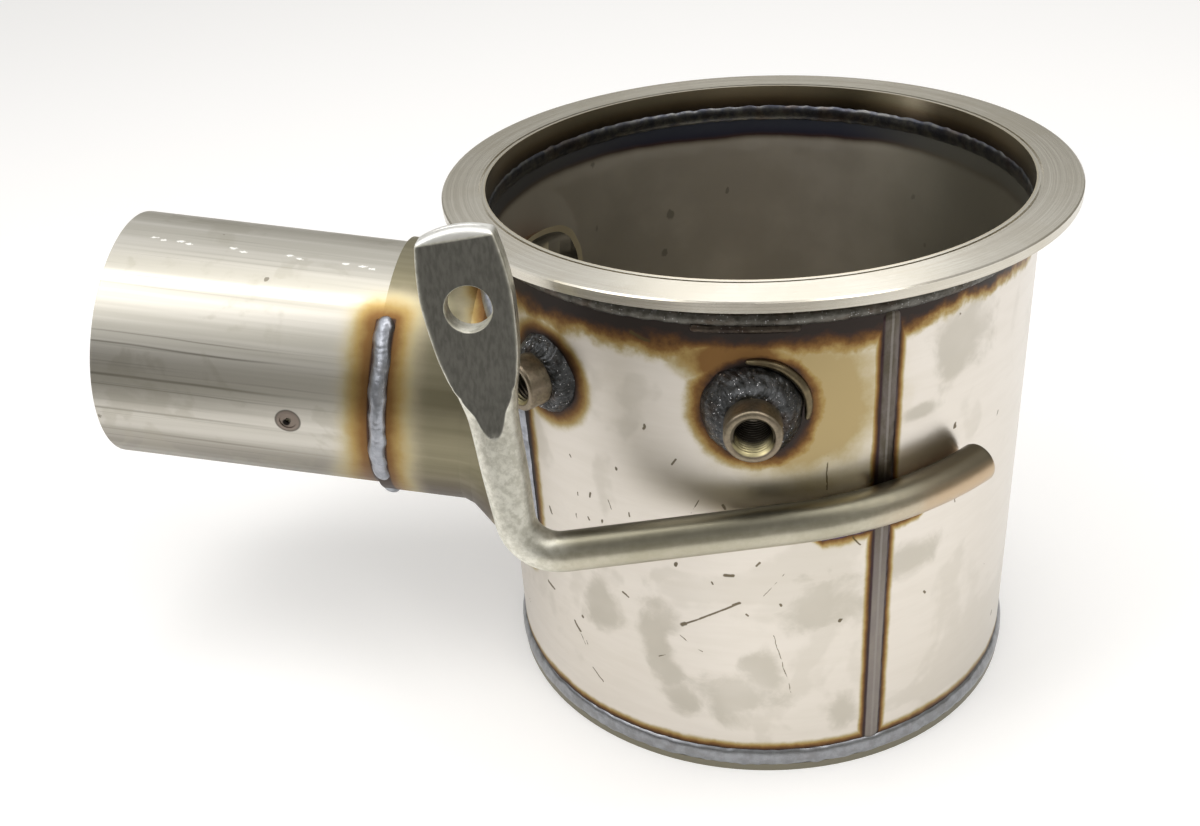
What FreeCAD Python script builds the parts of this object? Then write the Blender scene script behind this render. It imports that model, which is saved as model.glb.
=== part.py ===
import FreeCAD
import Part
import math
import os
from FreeCAD import Vector

# Inlet chamber of a diesel catalytic converter, in millimetres.
# +Z runs up the drum's axis to the outlet flange, the origin is the centre of the end
# plate's lower face, the inlet pipe points to -X and the hanger is on the -Y side.
# Azimuths are degrees from -Y towards +X.

# Drum and end plate
CAN_OD = 209.0
CAN_WALL = 2.0
CAN_LENGTH = 190.5
END_PLATE_THICKNESS = 3.2
END_PLATE_LEDGE = 1.2
END_WELD_HEIGHT = 6.2
END_WELD_BULGE = 0.6

# Long seam of the drum
SEAM_AZIMUTH = 24.5
SEAM_WIDTH = 6.6
SEAM_HEIGHT = 0.8

# Outlet flange and its welds
FLANGE_OVERHANG = 13.3
FLANGE_BORE_STEP = 3.0
FLANGE_HEIGHT = 12.3
FLANGE_RIM = 3.7
FLANGE_BACK_ANGLE = 20.0
FLANGE_EDGE_BREAK = 0.5
LIP_WIDTH = 1.5
GROOVE_WIDTH = 0.9
GROOVE_DEPTH = 1.0
OUTER_WELD_WIDTH = 4.6
OUTER_WELD_HEIGHT = 1.3
INNER_WELD_WIDTH = 6.6
INNER_WELD_HEIGHT = 0.9
TIE_IN_FROM = -11.5
TIE_IN_TO = 8.0
TIE_IN_WIDTH = 2.6
TIE_IN_HEIGHT = 0.9

# Inlet pipe: its axis rises outwards, and its drop from the flange is taken at the drum's axis
PIPE_OD = 101.6
PIPE_WALL = 2.0
PIPE_BEYOND_COLLAR = 112.0
PIPE_INSERT = 30.0
INLET_DROP = 92.1
INLET_TILT = 8.5
DIMPLE_BEYOND_COLLAR = 34.0
DIMPLE_ANGLE = 93.6
DIMPLE_RADIUS = 3.4
DIMPLE_DEPTH = 0.5
DIMPLE_HOLE_RADIUS = 1.2

# Collar: round outside, a rounded rectangle where it goes through the drum
COLLAR_WALL = 2.2
COLLAR_CLEARANCE = 0.1
COLLAR_BEYOND_CAN = 44.5
COLLAR_STRAIGHT = 34.0
COLLAR_FLARE = 33.0
COLLAR_TAIL = 22.0
MOUTH_HALF_WIDTH = 57.6
MOUTH_HALF_HEIGHT = 56.0
MOUTH_SQUARENESS = 5.6
COLLAR_PROTRUSION = 7.5
COLLAR_WELD_WIDTH = 5.0
COLLAR_WELD_HEIGHT = 2.4

# Stitch welds between pipe and collar: angles from the top of the pipe, the front positive
STITCH_LENGTH = 7.0
STITCH_HEIGHT = 1.9
STITCH_FRONT_ANGLE_FROM = 41.0
STITCH_FRONT_ANGLE_TO = 126.0
STITCH_LOWER_ANGLE_FROM = 141.0
STITCH_LOWER_ANGLE_TO = 153.0
STITCH_REAR_ANGLE_FROM = -130.0
STITCH_REAR_ANGLE_TO = -45.0

# Sensor bosses, with an M14 x 1.5 thread; each drop is from the drum's upper end
BOSS_OD = 19.0
BOSS_BORE = 12.4
BOSS_INSIDE = 2.0
BOSS_CHAMFER = 1.0
BOSS_NOSE_BREAK = 0.7
FRONT_BOSS_AZIMUTH = -0.4
FRONT_BOSS_DROP = 33.0
FRONT_BOSS_PROJECTION = 17.3
FRONT_BOSS_WELD_OD = 35.0
FRONT_BOSS_WELD_RISE = 8.6
SIDE_BOSS_BESIDE_MOUTH = 16.9
SIDE_BOSS_DROP = 34.7
SIDE_BOSS_PROJECTION = 13.4
SIDE_BOSS_WELD_OD = 29.6
SIDE_BOSS_WELD_RISE = 5.0

# Hanger: a round rod that follows the drum, runs off straight, turns up and ends in an eye
ROD_DIAMETER = 14.0
ROD_SEAM_CLEARANCE = 0.1
ROD_LEAVES_AT = 6.0
ROD_DROP = 72.8
ROD_SLOPE = 4.6
ROD_WRAP = 37.5
ROD_STRAIGHT = 91.2
ROD_BEND_RADIUS = 15.0
UPRIGHT_LEAN = 9.0
UPRIGHT_SPLAY = 1.3
NECK_SWELL = 1.3
NECK_DISTANCE = 49.0
EYE_DISTANCE = 90.1
EYE_HOLE = 15.0
EYE_WIDTH = 29.3
EYE_NECK_WIDTH = 15.2
EYE_TOP_WIDTH = 24.8
EYE_THICKNESS = 10.0
EYE_START = 54.0
EYE_TOP = 113.2
EYE_CROWN = 2.6
EYE_RAMP = 17.0
HANGER_WELD_FROM = 4.0
HANGER_WELD_TO = 28.0
HANGER_WELD_LEG = 5.5

# How far a cutting shape runs past what it cuts
CUT_MARGIN = 10.0

CAN_R = CAN_OD / 2
CAN_INNER_R = CAN_R - CAN_WALL
CAN_TOP = END_PLATE_THICKNESS + CAN_LENGTH
TOP = CAN_TOP + FLANGE_HEIGHT
FLANGE_R = CAN_R + FLANGE_OVERHANG
FLANGE_BORE_R = CAN_R - FLANGE_BORE_STEP
INLET_HEIGHT = CAN_TOP - INLET_DROP
FRONT_BOSS_HEIGHT = CAN_TOP - FRONT_BOSS_DROP
SIDE_BOSS_AZIMUTH = math.degrees(math.asin((MOUTH_HALF_WIDTH + SIDE_BOSS_BESIDE_MOUTH) / CAN_R)) - 90.0
SIDE_BOSS_HEIGHT = CAN_TOP - SIDE_BOSS_DROP
ROD_HEIGHT = CAN_TOP - ROD_DROP
COLLAR_REACH = CAN_R + COLLAR_BEYOND_CAN
PIPE_REACH = COLLAR_REACH + PIPE_BEYOND_COLLAR
DIMPLE_DISTANCE = COLLAR_REACH + DIMPLE_BEYOND_COLLAR
PIPE_R = PIPE_OD / 2
PLATE_R = CAN_R + END_PLATE_LEDGE
COLLAR_INNER_R = PIPE_R + COLLAR_CLEARANCE
COLLAR_R = COLLAR_INNER_R + COLLAR_WALL


def face_of(points):
    """Flat face from points; a pair in a list is the middle and the end of an arc."""
    edges = []
    last = points[0]
    for item in points[1:] + [points[0]]:
        if isinstance(item, list):
            edges.append(Part.Arc(last, item[0], item[1]).toShape())
            last = item[1]
        elif item.distanceToPoint(last) > 1e-6:
            edges.append(Part.makeLine(last, item))
            last = item
    return Part.Face(Part.Wire(edges))


def rz(r, z):
    return Vector(r, 0, z)


def ring(points, start=0.0, sweep=360.0):
    """Turned solid about Z; start and sweep are azimuths in the frame of the part."""
    solid = face_of(points).revolve(Vector(0, 0, 0), Vector(0, 0, 1), sweep)
    solid.rotate(Vector(0, 0, 0), Vector(0, 0, 1), start - 90.0)
    return solid


def tube(outer, inner, low, high):
    solid = Part.makeCylinder(outer, high - low, Vector(0, 0, low))
    return solid.cut(Part.makeCylinder(inner, high - low + 2, Vector(0, 0, low - 1)))


def outward(azimuth):
    a = math.radians(azimuth)
    return Vector(math.sin(a), -math.cos(a), 0)


def along_inlet(shape):
    """Moves a shape drawn about Z onto the inlet's axis; its local X points up."""
    moved = shape.copy()
    turn = FreeCAD.Rotation(Vector(0, 1, 0), INLET_TILT - 90.0)
    place = FreeCAD.Placement(Vector(0, 0, INLET_HEIGHT), turn)
    moved.Placement = place.multiply(moved.Placement)
    return moved


def export(name, shape):
    solid = shape.removeSplitter()
    if len(solid.Solids) == 1:
        solid = solid.Solids[0]
    print(name, len(shape.Solids), solid.isValid(), round(solid.Volume, 1))
    solid.exportStep("parts/" + name + ".step")


os.makedirs("parts", exist_ok=True)

# Inlet collar

def section(distance, grow):
    """Closed outline of the collar at a distance along the inlet, grown by a margin."""
    start = COLLAR_REACH - COLLAR_STRAIGHT
    t = min(max((start - distance) / COLLAR_FLARE, 0.0), 1.0)
    blend = t * t * (3 - 2 * t)
    half_height = COLLAR_R + (MOUTH_HALF_HEIGHT - COLLAR_R) * blend + grow
    half_width = COLLAR_R + (MOUTH_HALF_WIDTH - COLLAR_R) * blend + grow
    power = 2 / (2 + (MOUTH_SQUARENESS - 2) * blend)
    points = []
    count = 32
    for i in range(count):
        a = 2 * math.pi * i / count
        c = math.cos(a)
        s = math.sin(a)
        x = half_height * math.copysign(abs(c) ** power, c)
        y = half_width * math.copysign(abs(s) ** power, s)
        points.append(Vector(x, y, distance))
    curve = Part.BSplineCurve()
    steps = [i / count for i in range(count + 1)]
    curve.interpolate(Points=points, PeriodicFlag=True, Parameters=steps)
    return Part.Wire(curve.toShape())


def collar_form(grow, outer_end):
    """The collar's outside, grown by a margin: a round sleeve, the flare and its mouth."""
    start = COLLAR_REACH - COLLAR_STRAIGHT
    low = start - COLLAR_FLARE
    stops = [outer_end] + [start - COLLAR_FLARE * i / 7 for i in range(8)] + [low - COLLAR_TAIL]
    return along_inlet(Part.makeLoft([section(stop, grow) for stop in stops], True, True))


collar_outer = collar_form(0.0, COLLAR_REACH)
collar_bore = collar_form(-COLLAR_WALL, COLLAR_REACH + COLLAR_WALL)
can_heart = Part.makeCylinder(CAN_INNER_R - COLLAR_PROTRUSION, TOP, Vector(0, 0, 0))
can_full = Part.makeCylinder(CAN_R, TOP + 2 * CUT_MARGIN, Vector(0, 0, -CUT_MARGIN))

collar = collar_outer.cut(collar_bore).cut(can_heart)
collar_weld = collar_form(COLLAR_WELD_WIDTH, COLLAR_REACH - CUT_MARGIN).cut(collar_outer)
collar_weld = collar_weld.common(tube(CAN_R + COLLAR_WELD_HEIGHT, CAN_R, 0, TOP))
collar_weld = collar_weld.common(Part.makeBox(CAN_OD, 2 * CAN_OD, TOP, Vector(-CAN_OD, -CAN_OD, 0)))

# Inlet pipe

pipe_start = COLLAR_REACH - PIPE_INSERT
pipe = tube(PIPE_R, PIPE_R - PIPE_WALL, pipe_start, PIPE_REACH)
dimple_turn = math.radians(-DIMPLE_ANGLE)
dimple_out = Vector(math.cos(dimple_turn), math.sin(dimple_turn), 0)
dimple_floor = dimple_out * (PIPE_R - DIMPLE_DEPTH) + Vector(0, 0, DIMPLE_DISTANCE)
pipe = pipe.cut(Part.makeCylinder(DIMPLE_RADIUS, CUT_MARGIN, dimple_floor, dimple_out))
dimple_hole = dimple_out * (PIPE_R - 2 * PIPE_WALL) + Vector(0, 0, DIMPLE_DISTANCE)
pipe = pipe.cut(Part.makeCylinder(DIMPLE_HOLE_RADIUS, 3 * PIPE_WALL, dimple_hole, dimple_out))
pipe = along_inlet(pipe)


def stitch(angle_from, angle_to):
    """Bead on the pipe against the collar's end, lapping over the collar's edge."""
    out = COLLAR_REACH + STITCH_LENGTH * 0.55
    back = COLLAR_REACH - STITCH_LENGTH * 0.45
    crest = COLLAR_R + STITCH_HEIGHT
    profile = [rz(PIPE_R, COLLAR_REACH), rz(PIPE_R, out)]
    profile.append([rz(crest, COLLAR_REACH + STITCH_LENGTH * 0.08), rz(COLLAR_R, back)])
    profile.append(rz(COLLAR_R, COLLAR_REACH))
    solid = face_of(profile).revolve(Vector(0, 0, 0), Vector(0, 0, 1), angle_to - angle_from)
    solid.rotate(Vector(0, 0, 0), Vector(0, 0, 1), -angle_to)
    return along_inlet(solid)


# Sensor bosses

def boss(azimuth, height, projection):
    tip = CAN_R + projection
    root = CAN_INNER_R - BOSS_INSIDE
    r = BOSS_OD / 2
    bore = BOSS_BORE / 2
    profile = [
        rz(bore, root),
        rz(r, root),
        rz(r, tip - BOSS_NOSE_BREAK),
        rz(r - BOSS_NOSE_BREAK, tip),
        rz(bore + BOSS_CHAMFER, tip),
        rz(bore, tip - BOSS_CHAMFER),
    ]
    solid = face_of(profile).revolve(Vector(0, 0, 0), Vector(0, 0, 1), 360)
    return on_can(solid, azimuth, height)


def on_can(shape, azimuth, height):
    """Stands a shape drawn about Z on the drum, pointing outwards."""
    moved = shape.copy()
    turn = FreeCAD.Rotation(Vector(0, 0, 1), outward(azimuth))
    moved.Placement = FreeCAD.Placement(Vector(0, 0, height), turn)
    return moved


def boss_weld(azimuth, height, diameter, rise):
    r = BOSS_OD / 2
    toe = diameter / 2
    foot = math.sqrt(CAN_R ** 2 - toe ** 2)
    crest = CAN_R + rise
    middle = rz(r + (toe - r) * 0.62, foot + (crest - foot) * 0.66)
    profile = [rz(r, foot - 2), rz(toe, foot - 2), rz(toe, foot + 0.3)]
    profile.append([middle, rz(r, crest)])
    solid = face_of(profile).revolve(Vector(0, 0, 0), Vector(0, 0, 1), 360)
    return on_can(solid, azimuth, height).cut(can_full)


front_boss = boss(FRONT_BOSS_AZIMUTH, FRONT_BOSS_HEIGHT, FRONT_BOSS_PROJECTION)
side_boss = boss(SIDE_BOSS_AZIMUTH, SIDE_BOSS_HEIGHT, SIDE_BOSS_PROJECTION)
front_boss_weld = boss_weld(
    FRONT_BOSS_AZIMUTH, FRONT_BOSS_HEIGHT, FRONT_BOSS_WELD_OD, FRONT_BOSS_WELD_RISE)
side_boss_weld = boss_weld(
    SIDE_BOSS_AZIMUTH, SIDE_BOSS_HEIGHT, SIDE_BOSS_WELD_OD, SIDE_BOSS_WELD_RISE)

# Hanger: drawn in its own frame, where the rod's straight run is along -X

rod_r = ROD_DIAMETER / 2
arc_r = CAN_R + SEAM_HEIGHT + ROD_SEAM_CLEARANCE + rod_r
turn = FreeCAD.Rotation(Vector(0, 0, 1), ROD_LEAVES_AT)
turn = turn.multiply(FreeCAD.Rotation(Vector(0, 1, 0), -ROD_SLOPE))
hanger_place = FreeCAD.Placement(Vector(0, 0, ROD_HEIGHT), turn)


def disc(centre, normal, radius):
    return Part.Face(Part.Wire(Part.Circle(centre, normal, radius).toShape()))


run = Vector(-1, 0, 0)
lean = math.radians(UPRIGHT_LEAN)
splay = math.radians(UPRIGHT_SPLAY)
rise = Vector(-math.sin(splay), math.cos(splay) * math.sin(lean), math.cos(splay) * math.cos(lean))
corner = Vector(-ROD_STRAIGHT, -arc_r, 0)
leave = Vector(0, -arc_r, 0)
bend_angle = run.getAngle(rise)
setback = ROD_BEND_RADIUS * math.tan(bend_angle / 2)
inward = (rise - run * run.dot(rise)).normalize()
bend_start = corner - run * setback
bend_centre = bend_start + inward * ROD_BEND_RADIUS
bend_end = corner + rise * setback

wrap = disc(leave, run, rod_r).revolve(Vector(0, 0, 0), Vector(0, 0, 1), ROD_WRAP)
straight = Part.makeCylinder(rod_r, ROD_STRAIGHT - setback, leave, run)
bend = disc(bend_start, run, rod_r).revolve(bend_centre, run.cross(inward), math.degrees(bend_angle))

# The eye's frame: Z up the upright, Y away from the viewer, X across
across = (Vector(1, 0, 0) - rise * rise.x).normalize()
through = rise.cross(across)
eye_matrix = FreeCAD.Matrix(
    across.x, through.x, rise.x, corner.x,
    across.y, through.y, rise.y, corner.y,
    across.z, through.z, rise.z, corner.z,
    0, 0, 0, 1)
eye_place = FreeCAD.Placement(eye_matrix)


def oval(height, swell, squeeze):
    """Section of the neck: the rod's circle, widened across and pressed from front to back."""
    curve = Part.Circle(Vector(0, 0, 0), Vector(0, 0, 1), rod_r)
    if swell > 0:
        curve = Part.Ellipse(Vector(0, 0, 0), rod_r + swell, rod_r - squeeze)
    wire = Part.Wire(curve.toShape())
    wire.translate(Vector(0, 0, height))
    return wire


half_eye = EYE_THICKNESS / 2
neck_low = setback + rod_r / 7
neck = Part.makeLoft([
    oval(neck_low, 0, 0),
    oval((neck_low + NECK_DISTANCE) / 2, NECK_SWELL * 0.75, 0.1),
    oval(NECK_DISTANCE, NECK_SWELL, 0.3),
    oval(EYE_START + EYE_RAMP * 0.53, NECK_SWELL * 0.7, 0.6),
], True)
upright = Part.makeCylinder(rod_r, neck_low - setback, Vector(0, 0, setback))

# The flat of the eye ramps into the round neck on both sides
ramp_low = EYE_START - EYE_RAMP * 0.65
ramp_high = EYE_START + EYE_RAMP * 0.35
far = 4 * EYE_THICKNESS
wedge_points = [
    Vector(0, -half_eye, ramp_high),
    Vector(0, -half_eye, EYE_TOP + far),
    Vector(0, -far, EYE_TOP + far),
    Vector(0, -far, ramp_low),
    Vector(0, -rod_r - 0.2, ramp_low),
]
wedge = face_of(wedge_points).extrude(Vector(4 * far, 0, 0))
wedge.translate(Vector(-2 * far, 0, 0))
wedge_back = wedge.copy()
wedge_back = wedge_back.mirror(Vector(0, 0, 0), Vector(0, 1, 0))

half = EYE_WIDTH / 2
eye_length = EYE_TOP - EYE_START
side_points = [
    Vector(EYE_NECK_WIDTH / 2, 0, EYE_START),
    Vector(half * 0.78, 0, EYE_START + eye_length * 0.25),
    Vector(half * 0.965, 0, EYE_START + eye_length * 0.52),
    Vector(half, 0, EYE_START + eye_length * 0.68),
    Vector(EYE_TOP_WIDTH / 2, 0, EYE_TOP),
]
right_side = Part.BSplineCurve()
right_side.interpolate(side_points)
left_side = Part.BSplineCurve()
left_side.interpolate([Vector(-p.x, 0, p.z) for p in side_points])
top_left = Vector(-EYE_TOP_WIDTH / 2, 0, EYE_TOP)
crown = Part.Arc(side_points[-1], Vector(0, 0, EYE_TOP + EYE_CROWN), top_left)
foot_line = Part.makeLine(Vector(-side_points[0].x, 0, EYE_START), side_points[0])
outline = Part.Wire([right_side.toShape(), crown.toShape(), left_side.toShape(), foot_line])
paddle = Part.Face(outline).extrude(Vector(0, EYE_THICKNESS, 0))
paddle.translate(Vector(0, -half_eye, 0))
eye_hole = Part.makeCylinder(EYE_HOLE / 2, far, Vector(0, -far / 2, EYE_DISTANCE), Vector(0, 1, 0))
neck = neck.cut(wedge).cut(wedge_back)
eye = upright.fuse([neck, paddle]).cut(eye_hole)
eye.Placement = eye_place
hanger = wrap.fuse([straight, bend, eye])
hanger = hanger.removeSplitter()
hanger.Placement = hanger_place.multiply(hanger.Placement)

# Fillet under the rod, drawn in the rod's frame and trimmed by rod and drum
low_r = arc_r - rod_r - 2.0
bead = face_of([
    Vector(0, -low_r, -rod_r * 0.1),
    Vector(0, -low_r, -rod_r - HANGER_WELD_LEG),
    [Vector(0, -(arc_r - rod_r * 0.35), -rod_r - HANGER_WELD_LEG * 0.35), Vector(0, -(arc_r + rod_r * 0.1), -rod_r * 0.8)],
])
hanger_weld = bead.revolve(Vector(0, 0, 0), Vector(0, 0, 1), HANGER_WELD_TO - HANGER_WELD_FROM)
hanger_weld.rotate(Vector(0, 0, 0), Vector(0, 0, 1), HANGER_WELD_FROM)
hanger_weld.Placement = hanger_place.multiply(hanger_weld.Placement)
hanger_weld = hanger_weld.cut(hanger).cut(can_full)

# Drum, end plate and flange

shell = tube(CAN_R, CAN_INNER_R, END_PLATE_THICKNESS, CAN_TOP)
shell = shell.cut(collar_form(0.0, COLLAR_REACH))
boss_hole = Part.makeCylinder(BOSS_OD / 2, CAN_OD)
shell = shell.cut(on_can(boss_hole, FRONT_BOSS_AZIMUTH, FRONT_BOSS_HEIGHT))
shell = shell.cut(on_can(boss_hole, SIDE_BOSS_AZIMUTH, SIDE_BOSS_HEIGHT))

plate = Part.makeCylinder(PLATE_R, END_PLATE_THICKNESS)
weld_top = END_PLATE_THICKNESS + END_WELD_HEIGHT
end_weld = ring([
    rz(CAN_R, END_PLATE_THICKNESS),
    rz(PLATE_R, END_PLATE_THICKNESS),
    [rz(CAN_R + END_PLATE_LEDGE / 2 + END_WELD_BULGE, END_PLATE_THICKNESS + END_WELD_HEIGHT / 2), rz(CAN_R, weld_top)],
])

back_drop = FLANGE_OVERHANG * math.tan(math.radians(FLANGE_BACK_ANGLE))
flange = ring([
    rz(FLANGE_BORE_R, CAN_TOP),
    rz(CAN_R, CAN_TOP),
    rz(CAN_R, TOP - FLANGE_RIM - back_drop),
    rz(FLANGE_R, TOP - FLANGE_RIM),
    rz(FLANGE_R, TOP - FLANGE_EDGE_BREAK),
    rz(FLANGE_R - FLANGE_EDGE_BREAK, TOP),
    rz(FLANGE_BORE_R + LIP_WIDTH + GROOVE_WIDTH, TOP),
    rz(FLANGE_BORE_R + LIP_WIDTH + GROOVE_WIDTH, TOP - GROOVE_DEPTH),
    rz(FLANGE_BORE_R + LIP_WIDTH, TOP - GROOVE_DEPTH),
    rz(FLANGE_BORE_R + LIP_WIDTH, TOP),
    rz(FLANGE_BORE_R, TOP),
])
outer_low = CAN_TOP - OUTER_WELD_WIDTH / 2
outer_weld = ring([
    rz(CAN_R, outer_low),
    [rz(CAN_R + OUTER_WELD_HEIGHT, CAN_TOP), rz(CAN_R, CAN_TOP + OUTER_WELD_WIDTH / 2)],
])
inner_weld = ring([
    rz(FLANGE_BORE_R, CAN_TOP + INNER_WELD_WIDTH / 2),
    [rz(FLANGE_BORE_R - INNER_WELD_HEIGHT, CAN_TOP), rz(CAN_INNER_R, CAN_TOP - INNER_WELD_WIDTH / 2)],
    rz(CAN_INNER_R, CAN_TOP),
    rz(FLANGE_BORE_R, CAN_TOP),
])
tie_low = outer_low - TIE_IN_WIDTH
tie_in = ring([
    rz(CAN_R, tie_low),
    [rz(CAN_R + TIE_IN_HEIGHT, outer_low - TIE_IN_WIDTH / 2), rz(CAN_R, outer_low)],
], TIE_IN_FROM, TIE_IN_TO - TIE_IN_FROM)

# Long seam, from the edge weld up to the flange weld
half_seam = math.degrees(SEAM_WIDTH / 2 / CAN_R)
seam_left = outward(SEAM_AZIMUTH - half_seam) * CAN_R
seam_right = outward(SEAM_AZIMUTH + half_seam) * CAN_R
seam_crest = outward(SEAM_AZIMUTH) * (CAN_R + SEAM_HEIGHT)
seam_root = outward(SEAM_AZIMUTH) * CAN_R
seam_face = face_of([seam_left, [seam_crest, seam_right], [seam_root, seam_left]])
seam_face.translate(Vector(0, 0, weld_top))
seam = seam_face.extrude(Vector(0, 0, outer_low - weld_top)).cut(hanger_weld)

export("can_shell", shell)
export("can_seam_weld", seam)
export("end_plate", plate)
export("end_plate_weld", end_weld)
export("outlet_flange", flange)
export("flange_outer_weld", outer_weld)
export("flange_inner_weld", inner_weld)
export("flange_weld_tie_in", tie_in)
export("inlet_collar", collar)
export("inlet_collar_weld", collar_weld)
export("inlet_pipe", pipe)
export("pipe_stitch_front", stitch(STITCH_FRONT_ANGLE_FROM, STITCH_FRONT_ANGLE_TO))
export("pipe_stitch_lower", stitch(STITCH_LOWER_ANGLE_FROM, STITCH_LOWER_ANGLE_TO))
export("pipe_stitch_rear", stitch(STITCH_REAR_ANGLE_FROM, STITCH_REAR_ANGLE_TO))
export("front_sensor_boss", front_boss)
export("front_boss_weld", front_boss_weld.cut(front_boss))
export("side_sensor_boss", side_boss)
export("side_boss_weld", side_boss_weld.cut(side_boss))
export("hanger_rod", hanger)
export("hanger_weld", hanger_weld)
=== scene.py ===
# %% [markdown]
# # Inlet chamber of a catalytic converter
# The real object is welded from satin stainless steel: a round drum with a clamp flange, a
# 4 inch inlet pipe in a collar, two sensor bosses and a bent rod hanger with a forged eye.
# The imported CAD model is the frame. This lesson adds what CAD leaves out: rippled weld beads,
# threads, forged edges, heat tint, smudges, spatter, light and a camera.

# %% Load the frame
import math

import bpy
from mathutils import Matrix, Vector, noise


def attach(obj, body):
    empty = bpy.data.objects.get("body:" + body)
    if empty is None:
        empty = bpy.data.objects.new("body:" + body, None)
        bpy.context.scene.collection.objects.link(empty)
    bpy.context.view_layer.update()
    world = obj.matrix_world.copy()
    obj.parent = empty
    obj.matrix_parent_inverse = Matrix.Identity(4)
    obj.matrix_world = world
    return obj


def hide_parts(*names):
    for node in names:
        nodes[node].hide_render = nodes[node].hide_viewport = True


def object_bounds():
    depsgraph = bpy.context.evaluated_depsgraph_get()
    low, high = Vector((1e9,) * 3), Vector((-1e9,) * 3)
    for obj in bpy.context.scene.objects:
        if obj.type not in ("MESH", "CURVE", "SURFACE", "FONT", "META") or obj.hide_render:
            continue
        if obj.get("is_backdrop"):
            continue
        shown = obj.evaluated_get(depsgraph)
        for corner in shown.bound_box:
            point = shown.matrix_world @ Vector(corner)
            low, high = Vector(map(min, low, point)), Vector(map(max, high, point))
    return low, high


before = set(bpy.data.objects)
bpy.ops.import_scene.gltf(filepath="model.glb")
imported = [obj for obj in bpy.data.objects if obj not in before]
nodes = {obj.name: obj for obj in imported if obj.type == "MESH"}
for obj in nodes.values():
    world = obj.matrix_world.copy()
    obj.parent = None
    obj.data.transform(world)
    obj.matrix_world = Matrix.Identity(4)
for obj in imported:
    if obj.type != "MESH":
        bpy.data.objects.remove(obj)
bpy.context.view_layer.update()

# %% [markdown]
# ## The camera
# The photograph was taken from above and in front, with a slight roll. The camera's place and
# its three axes were fitted to the rims of the flange, the drum and the pipe, so they are
# written here as plain vectors: right, up and backwards.

# %% Set up the camera
IMAGE_WIDTH = 1200
FOCAL_PIXELS = 1311.7
SENSOR_WIDTH = 36.0
CAMERA_PLACE = (0.0, -0.475186, 0.378832)

camera_data = bpy.data.cameras.new("camera")
camera_data.sensor_width = SENSOR_WIDTH
camera_data.lens = FOCAL_PIXELS / IMAGE_WIDTH * SENSOR_WIDTH
camera_data.clip_start = 0.01
camera = bpy.data.objects.new("camera", camera_data)
bpy.context.scene.collection.objects.link(camera)
camera_right = Vector((0.99302737, 0.09842, -0.06488556))
camera_up = Vector((0.00582133, 0.5088064, 0.86086129))
camera_back = Vector((0.11774016, -0.85523655, 0.50468574))
turned = Matrix((camera_right, camera_up, camera_back)).transposed().to_4x4()
camera.matrix_world = Matrix.Translation(CAMERA_PLACE) @ turned
bpy.context.scene.camera = camera
print("lens", round(camera_data.lens, 2), "mm")

# %% [markdown]
# ## Fields
# A finish is a tree of nodes, and most of its nodes only add or multiply. Here a Field stands
# for the output of a node, and a sum or product of fields adds the Math nodes for it, so that
# a tree reads like the formula that it works out.

# %% Fields: node outputs that add and multiply
class Field:
    """The output of a node, which knows the tree that it is in."""

    def __init__(self, socket):
        self.socket = socket
        self.tree = socket.id_data

    def __add__(self, other):
        return calc("ADD", self, other)

    def __sub__(self, other):
        return calc("SUBTRACT", self, other)

    def __rsub__(self, other):
        return calc("SUBTRACT", other, self)

    def __mul__(self, other):
        return calc("MULTIPLY", self, other)

    def __truediv__(self, other):
        return calc("DIVIDE", self, other)

    def __pow__(self, other):
        return calc("POWER", self, other)

    def __abs__(self):
        return calc("ABSOLUTE", self)


def tree_of(values):
    return next(value.tree for value in values if isinstance(value, Field))


def plug(socket, value):
    """Links a field to a socket, or sets the socket to a number, a place or a colour."""
    if isinstance(value, Field):
        value.tree.links.new(value.socket, socket)
    elif socket.type == "RGBA":
        socket.default_value = (*value, 1)
    else:
        socket.default_value = value


def calc(operation, *values, clamp=False):
    node = tree_of(values).nodes.new("ShaderNodeMath")
    node.operation = operation
    node.use_clamp = clamp
    for socket, value in zip(node.inputs, values):
        plug(socket, value)
    return Field(node.outputs[0])


def largest(first, *others):
    for other in others:
        first = calc("MAXIMUM", first, other)
    return first


# %% [markdown]
# ## Floor and light
# The part stood on a white sheet, under two broad windows of light to the left and right of the
# camera and a small one behind it. Satin metal shows what stands around it, so the surroundings
# matter as much as the lamps: a dark table beyond the sheet, a low band all round, a wall to the
# right, and openings that show the white world. Only reflections see that room.

# %% Helpers for plain materials
WARM_WHITE = (1.0, 0.985, 0.96)


def new_material(name):
    """An empty node material and its output node."""
    material = bpy.data.materials.new(name)
    material.use_nodes = True
    material.node_tree.nodes.clear()
    return material, material.node_tree.nodes.new("ShaderNodeOutputMaterial")


def emission(tree, kind, colour, strength):
    """A glowing shader: the same two sockets serve a material and the world."""
    node = tree.nodes.new(kind)
    plug(node.inputs["Color"], colour)
    plug(node.inputs["Strength"], strength)
    return node.outputs[0]


def glowing(name, colour, strength):
    material, out = new_material(name)
    tree = material.node_tree
    tree.links.new(emission(tree, "ShaderNodeEmission", colour, strength), out.inputs["Surface"])
    return material


def seen_or_mirrored(tree):
    """1 for rays from the camera and in reflections, 0 for the rays that light the scene."""
    path = tree.nodes.new("ShaderNodeLightPath").outputs
    return largest(*[Field(path[ray]) for ray in ("Is Camera Ray", "Is Glossy Ray", "Is Transmission Ray")])


# %% Build the floor
FLOOR_SIZE = 8.0
FLOOR_LIFT = 0.30

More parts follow.
